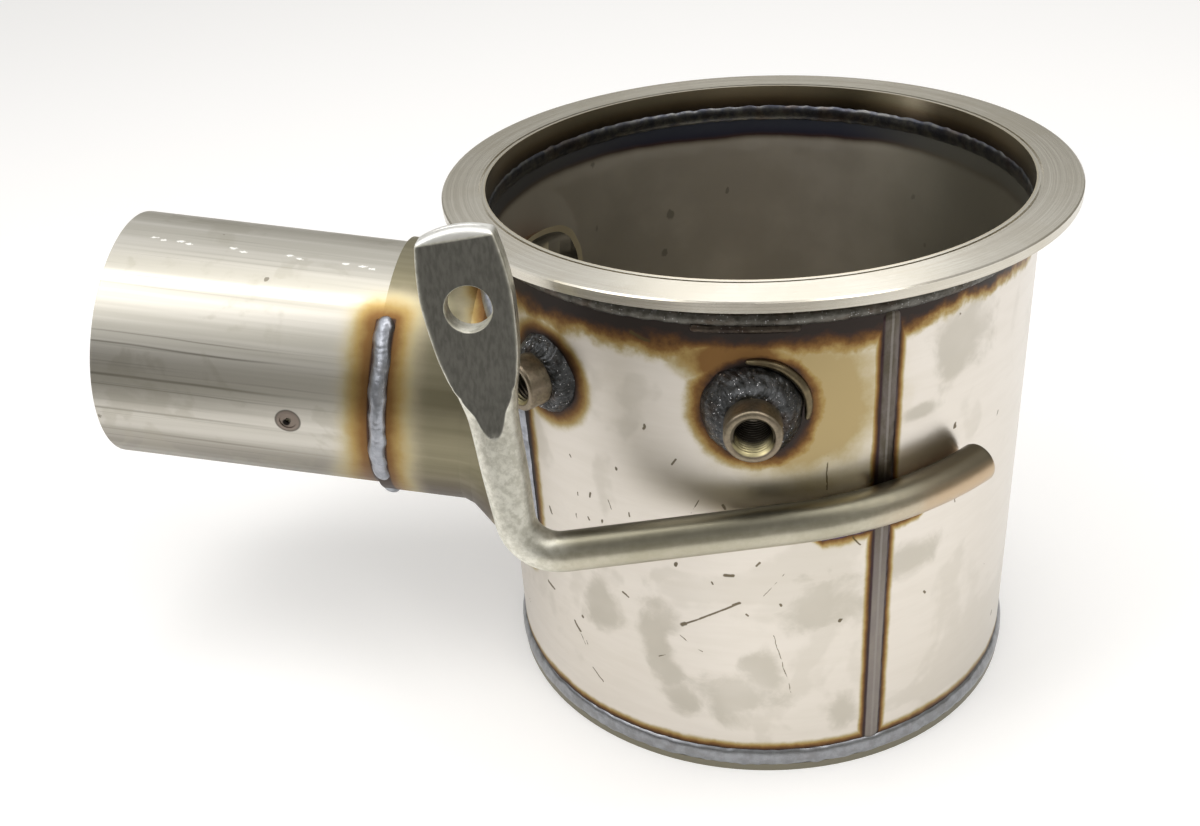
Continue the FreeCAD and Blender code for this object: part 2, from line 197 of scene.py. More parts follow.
bpy.ops.mesh.primitive_plane_add(size=FLOOR_SIZE)
floor = bpy.context.object
floor.name = "floor"
floor_material, floor_out = new_material("white_sheet")
tree = floor_material.node_tree
floor_paint = tree.nodes.new("ShaderNodeBsdfDiffuse")
plug(floor_paint.inputs["Color"], (0.82, 0.815, 0.81))
both = tree.nodes.new("ShaderNodeAddShader")
tree.links.new(floor_paint.outputs[0], both.inputs[0])
tree.links.new(emission(tree, "ShaderNodeEmission", (1, 1, 1), seen_or_mirrored(tree) * FLOOR_LIFT),
               both.inputs[1])
tree.links.new(both.outputs[0], floor_out.inputs["Surface"])
floor.data.materials.append(floor_material)
floor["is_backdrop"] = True
print("floor", FLOOR_SIZE, "m")

# %% Build the room that only reflections see
ROOM_RADIUS = 2.4
ROOM_SIDES = 48
ROOM_LEVELS = [-1.0, 6.0, 21.0, 28.0, 45.0, 60.0, 75.0, 89.0]
ROOM_GLOWS = [("low_band", (1.0, 0.96, 0.88), 0.16), ("camera_side", (1.0, 0.98, 0.94), 0.40),
              ("right_wall", (1.0, 0.98, 0.94), 0.50), ("back_band", (1.0, 0.97, 0.86), 0.34)]
TABLE_HEIGHT = 0.002
TABLE_CORNERS = [(-2.2, -2.2), (-0.16, -2.2), (-0.16, -0.50), (-0.35, -0.22), (-2.2, -0.15),
                 (2.2, -2.2), (2.2, -0.50)]


def only_mirrored(name, corners, faces, materials, choice):
    mesh = bpy.data.meshes.new(name)
    mesh.from_pydata([tuple(c) for c in corners], [], faces)
    for material in materials:
        mesh.materials.append(material)
    mesh.polygons.foreach_set("material_index", choice)
    made = bpy.data.objects.new(name, mesh)
    bpy.context.scene.collection.objects.link(made)
    made.visible_camera = False
    made.visible_shadow = False
    made.visible_diffuse = False
    made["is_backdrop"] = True


def room_glow(bottom, top, k):
    """Which glow side k has between two levels, or None for an opening. Sides count from the
    front of the part towards its right."""
    camera_side = k < 13 or k >= 35
    if top <= (21.0 if camera_side else 28.0):
        return 0 if 35 <= k < 46 else 3
    if k < 10 and bottom >= 60.0:
        return None
    if k < 2 or k >= 46 or (bottom >= 60.0 and camera_side):
        return 1
    return 2 if k < 21 else None


room_corners = []
for level in ROOM_LEVELS:
    e = math.radians(level)
    for k in range(ROOM_SIDES):
        a = 2 * math.pi * k / ROOM_SIDES
        place = Vector((math.sin(a) * math.cos(e), -math.cos(a) * math.cos(e), math.sin(e)))
        room_corners.append(place * ROOM_RADIUS)
room_faces = []
room_choice = []
for i, (bottom, top) in enumerate(zip(ROOM_LEVELS, ROOM_LEVELS[1:])):
    for k in range(ROOM_SIDES):
        kind = room_glow(bottom, top, k)
        if kind is not None:
            m = (k + 1) % ROOM_SIDES
            low, high = i * ROOM_SIDES, (i + 1) * ROOM_SIDES
            room_faces.append((low + k, low + m, high + m, high + k))
            room_choice.append(kind)
only_mirrored("room", room_corners, room_faces, [glowing(*glow) for glow in ROOM_GLOWS], room_choice)
only_mirrored("dark_table", [(x, y, TABLE_HEIGHT) for x, y in TABLE_CORNERS],
              [(0, 1, 2, 3, 4), (1, 5, 6, 2)], [glowing("table", (1.0, 0.96, 0.88), 0.28)], [0, 0])
print("room", len(room_faces), "faces")

# %% Light the scene
AMBIENT = 0.55

bpy.context.scene.view_settings.view_transform = "Standard"
world = bpy.data.worlds.new("studio")
bpy.context.scene.world = world
world.use_nodes = True
tree = world.node_tree
tree.nodes.clear()
choose = tree.nodes.new("ShaderNodeMixShader")
plug(choose.inputs["Fac"], seen_or_mirrored(tree))
tree.links.new(emission(tree, "ShaderNodeBackground", WARM_WHITE, AMBIENT), choose.inputs[1])
tree.links.new(emission(tree, "ShaderNodeBackground", (1, 1, 1), 1.0), choose.inputs[2])
tree.links.new(choose.outputs[0], tree.nodes.new("ShaderNodeOutputWorld").inputs["Surface"])


def soft_light(name, place, aim, size, power):
    """A rectangular soft box at a place, turned towards a point."""
    data = bpy.data.lights.new(name, "AREA")
    data.shape = "RECTANGLE"
    data.size, data.size_y = size
    data.energy = power
    data.color = WARM_WHITE
    lamp = bpy.data.objects.new(name, data)
    lamp.location = place
    lamp.rotation_euler = (Vector(aim) - Vector(place)).to_track_quat("-Z", "Y").to_euler()
    bpy.context.scene.collection.objects.link(lamp)


soft_light("left_window", (-0.54, -0.35, 1.25), (-0.1, 0, 0.1), (0.42, 1.7), 7.5)
soft_light("right_window", (0.40, -0.35, 1.25), (0.1, 0, 0.1), (0.34, 1.5), 6.0)
soft_light("back_window", (0.05, 1.5, 1.06), (0, 0, 0.2), (0.5, 0.36), 0.75)

# %% [markdown]
# ## Sizes
# The same named sizes as in the CAD source, in metres. Places on the drum are given by an
# azimuth in degrees, counted from the front (-Y) towards +X, and a height.

# %% Name the sizes
MM = 0.001
CAN_R = 104.5 * MM
IN_SKIN = CAN_R - 0.1 * MM
CAN_TOP = 193.7 * MM
TOP = 206.0 * MM
END_WELD_TOP = 9.4 * MM
SEAM_AZIMUTH = 24.5
PIPE_R = 50.8 * MM
INLET_HEIGHT = 101.6 * MM
INLET_TILT = math.radians(8.5)
COLLAR_R = 53.1 * MM
BOSS_R = 9.5 * MM
FRONT_BOSS = (-0.4, 160.7 * MM)
SIDE_BOSS = (-44.53, 159.0 * MM)
ROD_HEIGHT = 120.9 * MM
ROD_R = 7.0 * MM

UP = Vector((0, 0, 1))
inlet_axis = Vector((-math.cos(INLET_TILT), 0, math.sin(INLET_TILT)))
inlet_up = Vector((math.sin(INLET_TILT), 0, math.cos(INLET_TILT)))
inlet_origin = Vector((0, 0, INLET_HEIGHT))
print("inlet axis", [round(v, 4) for v in inlet_axis])


# %% Helpers for shapes
def outward(azimuth):
    """Unit vector from the drum's axis, at an azimuth in degrees."""
    a = math.radians(azimuth)
    return Vector((math.sin(a), -math.cos(a), 0))


def on_drum(azimuth, radius, height):
    return outward(azimuth) * radius + UP * height


def on_inlet(distance, angle, radius):
    """A point round the inlet's axis; the angle runs from its top to its front."""
    a = math.radians(angle)
    return (inlet_origin + inlet_axis * distance
            + (inlet_up * math.cos(a) + Vector((0, -1, 0)) * math.sin(a)) * radius)


def at_wall(place):
    """The same place, moved along its radius to just below the drum's surface."""
    return Vector((place.x, place.y, 0)).normalized() * IN_SKIN + UP * place.z


def wave(place, seed, scale):
    """Smooth noise between about -1 and 1, the same on every run."""
    return noise.noise(Vector(place) * scale + Vector((seed * 7.3, seed * 3.1, seed * 1.7)))


def new_piece(name, corners, faces, replaced=(), sharp=40):
    """A mesh that rides on the part, shaded smooth up to a crease angle."""
    mesh = bpy.data.meshes.new(name)
    mesh.from_pydata([tuple(c) for c in corners], [], faces)
    mesh.validate()
    piece = bpy.data.objects.new(name, mesh)
    bpy.context.scene.collection.objects.link(piece)
    mesh.shade_smooth()
    mesh.set_sharp_from_angle(angle=math.radians(sharp))
    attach(piece, "root")
    if replaced:
        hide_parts(*replaced)
    print(name, len(mesh.polygons), "faces")
    return piece


def skin(rings, closed_path, flip=False):
    """Corners and faces of a skin over rings of equal count; open ends get caps."""
    count = len(rings[0])
    corners = [p for ring in rings for p in ring]
    faces = []
    last = len(rings) if closed_path else len(rings) - 1
    for i in range(last):
        j = (i + 1) % len(rings)
        for k in range(count):
            m = (k + 1) % count
            faces.append((i * count + k, i * count + m, j * count + m, j * count + k))
    if not closed_path:
        faces.append(tuple(reversed(range(count))))
        faces.append(tuple((len(rings) - 1) * count + k for k in range(count)))
    if flip:
        faces = [tuple(reversed(face)) for face in faces]
    return corners, faces


# %% [markdown]
# ## Weld beads
# A weld bead is a row of overlapping puddles, each frozen a moment after the last. It could be
# a smooth rib with a bump map, but the highlights on the real beads break up at every ripple,
# and the beads show in outline. So each bead is a mesh with a scalloped crest. One function
# makes them all from stations along the joint: the two toes, the root and the crest's lift.

# %% A helper for weld beads
BEAD_SAMPLES = 13
BEAD_BOW = 0.9


def bead_rings(stations, pitch, ripple, lumps, seed, open_ends):
    """One ring of points for each station (toe, other toe, root, lift)."""
    rings = []
    run = 0.0
    before = None
    total = sum((Vector(b[0]) - Vector(a[0])).length for a, b in zip(stations, stations[1:]))
    for toe, other, root, lift in stations:
        middle = (toe + other) / 2
        if before is not None:
            run += (middle - before).length
        before = middle
        width = (other - toe).length
        size = 1.0
        if open_ends:
            near = min(run, total - run) / (width * 0.6)
            size = math.sqrt(max(0.0, 1 - max(0.0, 1 - near) ** 2)) * 0.97 + 0.03
        swell = 1 + lumps * wave(middle, seed, 170)
        ring = []
        for k in range(BEAD_SAMPLES):
            u = k / (BEAD_SAMPLES - 1)
            side = 2 * u - 1
            crown = (1 - side * side) ** 0.62
            phase = (run + BEAD_BOW * pitch * side * side) / pitch + 0.35 * wave(middle, seed + 3, 320)
            scallop = math.sqrt(max(0.0, 1 - (2 * (phase % 1.0) - 1) ** 2)) - 0.75
            lumpy = lumps * 0.35 * wave(middle + lift * side * 3, seed + 5, 620)
            height = crown * (swell + lumpy) + ripple * scallop * crown ** 0.6
            spread = 1 + 0.16 * wave(middle, seed + 9 + (1 if side > 0 else 0), 260) * abs(side)
            foot = middle + (toe.lerp(other, u) - middle) * size * spread
            ring.append(foot + lift * height * size)
        ring.append(middle + (root - middle) * (0.4 + 0.6 * size))
        rings.append(ring)
    return rings


def weld(name, node, stations, seed, pitch=1.9 * MM, ripple=0.16, lumps=0.25, closed=False):
    rings = bead_rings(stations, pitch, ripple, lumps, seed, not closed)
    corners, faces = skin(rings, closed)
    return new_piece(name, corners, faces, [node], sharp=55)


def steps(start, end, count):
    return [start + (end - start) * i / (count - 1) for i in range(count)]


# %% Weld the flange, the end plate and the long seam
def drum_ring(toe, other, root, lift, start=0.0, end=360.0, count=1300):
    """Stations round the drum; each point is (radius, height) in metres."""
    closed = end - start >= 360.0
    turns = [start + (end - start) * i / (count if closed else count - 1) for i in range(count)]
    return [tuple(outward(azimuth) * r + UP * z for r, z in (toe, other, root, lift)) for azimuth in turns]


flange_outer = weld(
    "flange_outer_bead", "flange_outer_weld",
    drum_ring((IN_SKIN, 191.2 * MM), (IN_SKIN, 196.1 * MM), (103.7 * MM, CAN_TOP), (1.3 * MM, 0)),
    11, ripple=0.12, closed=True)
flange_inner = weld(
    "flange_inner_bead", "flange_inner_weld",
    drum_ring((101.6 * MM, 197.2 * MM), (102.6 * MM, 190.2 * MM), (103.2 * MM, CAN_TOP),
              (-1.35 * MM, 0)),
    12, ripple=0.015, lumps=0.05, closed=True)
tie_in = weld(
    "flange_tie_in_bead", "flange_weld_tie_in",
    drum_ring((IN_SKIN, 188.6 * MM), (IN_SKIN, 191.8 * MM), (103.8 * MM, 190.2 * MM),
              (0.95 * MM, 0), -11.5, 8.0, 90),
    13)
end_bead = weld(
    "end_plate_bead", "end_plate_weld",
    drum_ring((105.65 * MM, 3.1 * MM), (IN_SKIN, 9.5 * MM), (103.9 * MM, 4.5 * MM),
              (0.95 * MM, 0.1 * MM)),
    14, ripple=0.06, lumps=0.14, closed=True)

SEAM_TOE_R = 104.42 * MM
seam_half = math.degrees(3.3 * MM / CAN_R)
seam_stations = [
    (on_drum(SEAM_AZIMUTH - seam_half, SEAM_TOE_R, height),
     on_drum(SEAM_AZIMUTH + seam_half, SEAM_TOE_R, height),
     on_drum(SEAM_AZIMUTH, 103.9 * MM, height), outward(SEAM_AZIMUTH) * 0.66 * MM)
    for height in steps(END_WELD_TOP - 1.2 * MM, 192.0 * MM, 380)]
seam = weld("can_seam_bead", "can_seam_weld", seam_stations, 15,
            pitch=1.5 * MM, ripple=0.14, lumps=0.2)


# %% [markdown]
# The collar meets the drum in a rounded rectangle bent round the drum. The bead's path is
# found on each line of the collar's outside, by halving the stretch in which it passes through
# the drum's wall.

# %% Weld the collar to the drum
FLARE_START = 115.0 * MM
FLARE_LENGTH = 33.0 * MM
MOUTH_HALF_HEIGHT = 56.0 * MM
MOUTH_HALF_WIDTH = 57.6 * MM
MOUTH_SQUARE = 3.6
COLLAR_BEAD_REACH = 5.0 * MM
COLLAR_BEAD_LIFT = 1.15 * MM


def collar_point(distance, turn, grow=0.0):
    """A point of the collar's outside: round at the pipe, a rounded rectangle at the drum."""
    t = min(max((FLARE_START - distance) / FLARE_LENGTH, 0.0), 1.0)
    blend = t * t * (3 - 2 * t)
    half_height = COLLAR_R + (MOUTH_HALF_HEIGHT - COLLAR_R) * blend + grow
    half_width = COLLAR_R + (MOUTH_HALF_WIDTH - COLLAR_R) * blend + grow
    power = 2 / (2 + MOUTH_SQUARE * blend)
    c = math.cos(turn)
    s = math.sin(turn)
    up = half_height * math.copysign(abs(c) ** power, c)
    side = half_width * math.copysign(abs(s) ** power, s)
    return inlet_origin + inlet_axis * distance + inlet_up * up + Vector((0, side, 0))


def meeting_point(turn, grow):
    """Where a line of the collar's outside goes through the drum's wall."""
    near = 60.0 * MM
    far = 135.0 * MM
    for _ in range(30):
        middle = (near + far) / 2
        place = collar_point(middle, turn, grow)
        if math.hypot(place.x, place.y) > CAN_R:
            far = middle
        else:
            near = middle
    return collar_point(near, turn, grow)


def evenly(points, count):
    """The closed line through points, cut into equal steps."""
    lengths = [0.0]
    for a, b in zip(points, points[1:] + points[:1]):
        lengths.append(lengths[-1] + (b - a).length)
    made = []
    k = 0
    for i in range(count):
        target = lengths[-1] * i / count
        while lengths[k + 1] < target:
            k += 1
        part = (target - lengths[k]) / max(lengths[k + 1] - lengths[k], 1e-9)
        made.append(points[k].lerp(points[(k + 1) % len(points)], part))
    return made


WALKS = 1600
COLLAR_STATIONS = 820
turns = [2 * math.pi * i / WALKS for i in range(WALKS)]
corner_line = evenly([meeting_point(a, -0.1 * MM) for a in turns], COLLAR_STATIONS)
collar_stations = []
for i, corner in enumerate(corner_line):
    along = (corner_line[(i + 1) % COLLAR_STATIONS] - corner_line[i - 1]).normalized()
    wall = Vector((corner.x, corner.y, 0)).normalized()
    away = wall.cross(along).normalized()
    if away.dot(corner - inlet_origin - inlet_axis * CAN_R) < 0:
        away = -away
    toe = at_wall(corner + away * COLLAR_BEAD_REACH)
    other = corner + (inlet_axis - away * 0.04) * 2.9 * MM
    root = corner - wall * 0.8 * MM
    collar_stations.append((toe, other, root, (wall + away).normalized() * COLLAR_BEAD_LIFT))
collar_bead = weld("inlet_collar_bead", "inlet_collar_weld", collar_stations, 16,
                   pitch=2.1 * MM, ripple=0.2, lumps=0.3, closed=True)


# %% Weld the pipe into the collar
STITCH_TOE = 151.2 * MM
STITCH_OTHER_TOE = 143.7 * MM
STITCH_ROOT = 148.0 * MM
STITCH_CREST = 147.6 * MM
STITCH_LIFT = 2.6 * MM
STITCH_PITCH = 2.6 * MM


def stitch(node, start, end, seed, blob=0.0):
    """A short fat bead over the collar's edge, wobbly and sometimes with a blob at one end."""
    made = []
    count = max(40, int(abs(end - start) * 3.2))
    for angle in steps(start, end, count):
        wobble = 0.9 * MM * noise.noise(Vector((angle * 0.09, seed, 0)))
        fat = 1 + blob * math.exp(-((angle - start) / 9.0) ** 2)
        toe = on_inlet(STITCH_TOE + wobble + (fat - 1) * 2.0 * MM, angle, PIPE_R - 0.1 * MM)
        other = on_inlet(STITCH_OTHER_TOE + wobble * 0.6, angle, COLLAR_R - 0.1 * MM)
        root = on_inlet(STITCH_ROOT, angle, PIPE_R - 0.2 * MM)
        out = on_inlet(STITCH_CREST, angle, 1) - on_inlet(STITCH_CREST, angle, 0)
        lift = out * STITCH_LIFT * fat
        made.append((toe, other, root, lift))
    return weld(node + "_bead", node, made, seed, pitch=STITCH_PITCH, ripple=0.03, lumps=0.2)


front_stitch = stitch("pipe_stitch_front", 41.0, 126.0, 17, blob=0.28)
lower_stitch = stitch("pipe_stitch_lower", 141.0, 153.0, 18)
rear_stitch = stitch("pipe_stitch_rear", -45.0, -130.0, 19)


# %% [markdown]
# ## Sensor bosses
# Each boss is a turned ring with an M14 thread, set in a mound of weld metal. The thread is a
# real helix: the bore's radius follows the height minus the turn, so it winds inwards.

# %% Turn the bosses
THREAD_PITCH = 1.5 * MM
BORE_R = 6.2 * MM
THREAD_DEPTH = 0.75 * MM
BOSS_ROOT = 100.5 * MM
BOSS_SIDES = 96


def boss_frame(place):
    """Matrix with Z out of the drum, X along it and Y up, standing on the drum's axis."""
    azimuth, height = place
    out = outward(azimuth)
    turn = Matrix((UP.cross(out), UP, out)).transposed().to_4x4()
    return Matrix.Translation((0, 0, height)) @ turn


def put_round(frame_of_boss, a, ring):
    """Points (radius, height) of a boss's section, at an angle round the boss."""
    return [frame_of_boss @ Vector((r * math.cos(a), r * math.sin(a), z)) for r, z in ring]


def boss(name, place, projection):
    tip = CAN_R + projection
    thread_top = tip - 0.9 * MM
    outside = [(BOSS_R, BOSS_ROOT), (BOSS_R, tip - 1.1 * MM), (BOSS_R - 0.12 * MM, tip - 0.6 * MM),
               (BOSS_R - 0.45 * MM, tip - 0.18 * MM), (BOSS_R - 0.95 * MM, tip),
               (BORE_R + 1.3 * MM, tip), (BORE_R + 1.05 * MM, tip - 0.1 * MM)]
    bore_steps = int((tip - BOSS_ROOT) / (THREAD_PITCH / 7))
    frame_of_boss = boss_frame(place)
    rings = []
    for k in range(BOSS_SIDES):
        a = 2 * math.pi * k / BOSS_SIDES
        ring = list(outside)
        for j in range(bore_steps):
            z = thread_top - (thread_top - BOSS_ROOT) * j / (bore_steps - 1)
            turn = ((z + THREAD_PITCH * k / BOSS_SIDES) / THREAD_PITCH) % 1.0
            groove = max(0.0, 1 - abs(2 * turn - 1) * 1.35)
            fade = min(1.0, (z - BOSS_ROOT) / (0.8 * MM))
            ring.append((BORE_R + THREAD_DEPTH * groove * fade, z))
        rings.append(put_round(frame_of_boss, a, ring))
    corners, faces = skin(rings, True)
    return new_piece(name + "_turned", corners, faces, [name], sharp=50)


front_boss = boss("front_sensor_boss", FRONT_BOSS, 17.3 * MM)
side_boss = boss("side_sensor_boss", SIDE_BOSS, 13.4 * MM)


# %% Heap the weld metal round the bosses
MOUND_PITCH = 2.4 * MM
MOUND_MIDDLE_R = 13.5 * MM
CUT_BACK_TURN = math.radians(38)


def boss_mound(name, place, toe, rise, seed, cut_back=0.0, rows=26, count=300):
    """A lumpy ring of ripples from the drum's wall up to the boss."""
    frame_of_boss = boss_frame(place)
    rings = []
    for k in range(count):
        a = 2 * math.pi * k / count
        reach = toe * (1 + 0.045 * noise.noise(Vector((math.cos(a) * 2.3, math.sin(a) * 2.3, seed))))
        reach -= 1.3 * MM * cut_back * max(0.0, math.cos(a - CUT_BACK_TURN)) ** 0.5
        crest = rise * (1 + 0.10 * noise.noise(Vector((math.cos(a) * 1.7, math.sin(a) * 1.7, seed + 4))))
        ring = []
        for j in range(rows):
            u = j / (rows - 1)
            r = reach + (BOSS_R - 0.1 * MM - reach) * u
            wall = math.sqrt(CAN_R ** 2 - (r * math.cos(a)) ** 2)
            lifted = 1 - (1 - u) ** 2.26
            h = wall - 0.1 * MM + (CAN_R + crest - wall) * lifted
            wobble = 0.5 * noise.noise(Vector((r * 200, a * 3, seed)))
            phase = a * MOUND_MIDDLE_R / MOUND_PITCH + BEAD_BOW * math.sin(math.pi * u) + wobble
            edge = min(1.0, 8 * u, 6 * (1 - u) + 0.2)
            scallop = (math.sqrt(max(0.0, 1 - (2 * (phase % 1.0) - 1) ** 2)) - 0.7) * 0.55 * MM
            grain = Vector((r * math.cos(a), r * math.sin(a), h))
            lump = 0.55 * MM * noise.noise(grain * 330) + 0.3 * MM * noise.noise(grain * 900)
            rough = (scallop + lump) * edge
            ring.append((r + rough * 0.4 * (1 - u), h + rough * 0.75))
        ring.append((BOSS_R - 0.3 * MM, CAN_R - 1.5 * MM))
        ring.append((reach - 1.0 * MM, math.sqrt(CAN_R ** 2 - (reach * math.cos(a)) ** 2) - 1.4 * MM))
        rings.append(put_round(frame_of_boss, a, ring))
    corners, faces = skin(rings, True, flip=True)
    return new_piece(name + "_mound", corners, faces, [name], sharp=60)


front_mound = boss_mound("front_boss_weld", FRONT_BOSS, 17.5 * MM, 8.6 * MM, 2.0, cut_back=1.0)
side_mound = boss_mound("side_boss_weld", SIDE_BOSS, 14.8 * MM, 5.0 * MM, 6.0)


# %% Roll a smooth lip beside the front mound
def boss_lip(name, place, radius, thick, start, end):
    """A ridge that the first pass left outside the mound, thin at both ends."""
    frame_of_boss = boss_frame(place)
    rings = []
    for u in steps(0.0, 1.0, 90):
        a = math.radians(start + (end - start) * u)
        fat = thick * (0.1 + 0.9 * math.sin(math.pi * u) ** 0.3)
        middle = radius + 0.25 * MM * noise.noise(Vector((a * 2.0, 3.0, 0.0)))
        wall = math.sqrt(CAN_R ** 2 - (middle * math.cos(a)) ** 2)
        ring = []
        for k in range(16):
            b = 2 * math.pi * k / 16
            r = middle + fat * math.cos(b)
            ring.append((r, wall + fat * 1.1 * math.sin(b)))
        rings.append(put_round(frame_of_boss, a, ring))
    corners, faces = skin(rings, False)
    return new_piece(name, corners, faces, (), sharp=60)


front_lip = boss_lip("front_boss_weld_lip", FRONT_BOSS, 17.9 * MM, 1.75 * MM, 98.0, -14.0)


# %% [markdown]
# ## The hanger
# The hanger is one round bar: wrapped round the drum, run off straight, bent up and forged
# flat into an eye. The flat ramps into the round neck and leaves a V where it cuts the round.
# Rings of equal count follow the bar. Each ring is a circle or an ellipse, cut by the flat's
# two planes and widened by the paddle, and corners are rounded by a soft minimum.

# %% Draw the hanger's line
ARC_R = 112.4 * MM
BEND_R = 15.0 * MM
ROD_WRAP = 37.5
ROD_STRAIGHT = 91.2 * MM
UPRIGHT_LEAN = math.radians(9.0)
UPRIGHT_SPLAY = math.radians(1.3)
hanger_frame = (Matrix.Translation((0, 0, ROD_HEIGHT)) @ Matrix.Rotation(math.radians(6.0), 4, "Z")
                @ Matrix.Rotation(math.radians(-4.6), 4, "Y"))

run_dir = Vector((-1, 0, 0))
rise_dir = Vector((-math.sin(UPRIGHT_SPLAY), math.cos(UPRIGHT_SPLAY) * math.sin(UPRIGHT_LEAN),
                   math.cos(UPRIGHT_SPLAY) * math.cos(UPRIGHT_LEAN)))
corner_of_bar = Vector((-ROD_STRAIGHT, -ARC_R, 0))
bend_angle = run_dir.angle(rise_dir)
setback = BEND_R * math.tan(bend_angle / 2)
inward = (rise_dir - run_dir * run_dir.dot(rise_dir)).normalized()
bend_normal = run_dir.cross(inward).normalized()
bend_centre = corner_of_bar - run_dir * setback + inward * BEND_R

spine = []
for angle in steps(ROD_WRAP, 0.0, 40):
    a = math.radians(angle)
    spine.append((outward(angle) * ARC_R, Vector((-math.cos(a), -math.sin(a), 0))))
for distance in steps(4 * MM, ROD_STRAIGHT - setback - 4 * MM, 16):
    spine.append((Vector((-distance, -ARC_R, 0)), run_dir))
for angle in steps(0.0, bend_angle, 22):
    turn = Matrix.Rotation(angle, 3, bend_normal)
    spine.append((bend_centre + turn @ (-inward * BEND_R), turn @ run_dir))
print("hanger line", len(spine), "stations")

# %% Helpers for the forged bar
EYE_TOP = 113.2 * MM
EYE_EDGE = 112.0
EYE_CROWN = 2.6 * MM
EYE_DISTANCE = 90.1 * MM
HALF_EYE = 5.0 * MM
ROUND_HALF = 7.3
FLAT_START = 43.0
FLAT_END = 60.0
RIM_HEIGHT = 0.28
RIM_MIDDLE = 56.5
RIM_REACH = 11.0
CROWN_START = 98.0
CROWN_HALF = 12.4
AROUND = 144
even_turns = [2 * math.pi * k / AROUND for k in range(AROUND)]
ring_turns = [t + 0.2 * math.sin(4 * t) for t in even_turns]


def follow(x, pairs):
    """Smooth value between named places, for widths that change along the bar."""
    for (x0, y0), (x1, y1) in zip(pairs, pairs[1:]):
        if x <= x1:
            t = max(0.0, min(1.0, (x - x0) / (x1 - x0)))
            return y0 + (y1 - y0) * t * t * (3 - 2 * t)
    return pairs[-1][1]


def catmull(x, pairs):
    """A flowing curve through named places."""
    xs = [p[0] for p in pairs]
    ys = [p[1] for p in pairs]
    i = max(0, min(len(xs) - 2, sum(x > v for v in xs) - 1))
    m0 = (ys[i + 1] - ys[max(i - 1, 0)]) / (xs[i + 1] - xs[max(i - 1, 0)])
    j = min(i + 2, len(xs) - 1)
    m1 = (ys[j] - ys[i]) / (xs[j] - xs[i])
    h = xs[i + 1] - xs[i]
    t = (x - xs[i]) / h
    return ((2 * t ** 3 - 3 * t ** 2 + 1) * ys[i] + (t ** 3 - 2 * t ** 2 + t) * h * m0
            + (-2 * t ** 3 + 3 * t ** 2) * ys[i + 1] + (t ** 3 - t ** 2) * h * m1)


BAR_WIDE = [(15, 7.0), (32, 7.8), (46, 8.1), (52, 8.4), (56, 9.0), (60.7, 9.8), (64.7, 10.9),
            (68.8, 11.9), (76, 13.2), (84.8, 14.15), (94.3, 14.65), (104, 13.9), (113.2, 12.4)]
BAR_DEEP = [(15, 7.0), (32, 6.9), (49, 6.8), (60.7, 6.5), (64.7, 6.1), (68.8, 5.7), (76, 5.35)]
BAR_SQUARE = [(15, 2.0), (54, 2.0), (60.7, 2.9), (64.7, 5.0), (68.8, 8.0), (76, 13.0)]


def bar_ring(z):
    """Outline of the upright at a distance from the bend's corner, as (across, through) in mm."""
    wide = catmull(min(z, 113.2), BAR_WIDE)
    deep = follow(z, BAR_DEEP)
    power = follow(z, BAR_SQUARE)
    ramp = min(1.0, max(0.0, (z - FLAT_START) / (FLAT_END - FLAT_START)))
    flat = ROUND_HALF - (ROUND_HALF - HALF_EYE / MM) * ramp
    edge = wide * max(0.0, 1 - (flat / deep) ** power) ** (1 / power) if flat < deep else 0.0
    rim = RIM_HEIGHT * max(0.0, 1 - abs(z - RIM_MIDDLE) / RIM_REACH) ** 0.5
    ring = []
    for t in ring_turns:
        dx = wide * math.cos(t)
        dy = min(deep, flat) * math.sin(t)
        length = math.hypot(dx, dy)
        cx = abs(dx) / length
        cy = abs(dy) / length
        outer_r = ((cx / wide) ** power + (cy / deep) ** power) ** (-1 / power)
        flat_r = flat / max(cy, 1e-6)
        r = (outer_r ** -26 + flat_r ** -26) ** (-1 / 26)
        lip = rim * math.exp(-((r * cx - edge) / 0.75) ** 2) if edge > 1.0 else 0.0
        ring.append((r * dx / length, (r * cy + lip) * math.copysign(1, dy)))
    return ring


def rod_ring(place, direction, radius):
    """A round ring of the bar at a place on its line."""
    n = (bend_normal - direction * bend_normal.dot(direction)).normalized()
    m = n.cross(direction)
    return [hanger_frame @ (place + (m * math.cos(t) + n * math.sin(t)) * radius) for t in ring_turns]


# %% Forge the hanger
ROD_END = [(3.2, 0.0), (1.4, 0.0), (0.7, 0.12), (0.22, 0.5), (0.0, 1.1)]
across_dir = bend_normal.cross(rise_dir)
end_point, end_dir = spine[0]
hanger_rings = [rod_ring(end_point + end_dir * back * MM, end_dir, ROD_R - inset * MM)
                for inset, back in ROD_END]
hanger_rings += [rod_ring(place, direction, ROD_R) for place, direction in spine[1:]]
heights = steps(17.0, 42.0, 16) + steps(43.0, 66.0, 40) + steps(67.0, EYE_EDGE, 46)
tops = [(112.7, 0.35), (113.05, 0.9), (113.2, 1.8), (113.2, 4.2)]
for z, inset in [(z, 0.0) for z in heights] + tops:
    ring = []
    for x, y in bar_ring(min(z, EYE_EDGE)):
        x -= inset * x / max(abs(x), 3.0)
        y -= inset * y / max(abs(y), 3.0)
        crown = EYE_CROWN / MM * max(0.0, 1 - (x / CROWN_HALF) ** 2)
        lift = max(0.0, (z - CROWN_START) / 15.2)
        height = (z + crown * lift * lift) * MM
        place = corner_of_bar + across_dir * x * MM + bend_normal * y * MM + rise_dir * height
        ring.append(hanger_frame @ place)
    hanger_rings.append(ring)
corners, faces = skin(hanger_rings, False)
hanger = new_piece("hanger_forged", corners, faces, ["hanger_rod"], sharp=32)

# %% [markdown]
# The eye's hole is cut with a spool-shaped cutter, wider at both ends, so that its two edges
# come out broken as on the real eye.

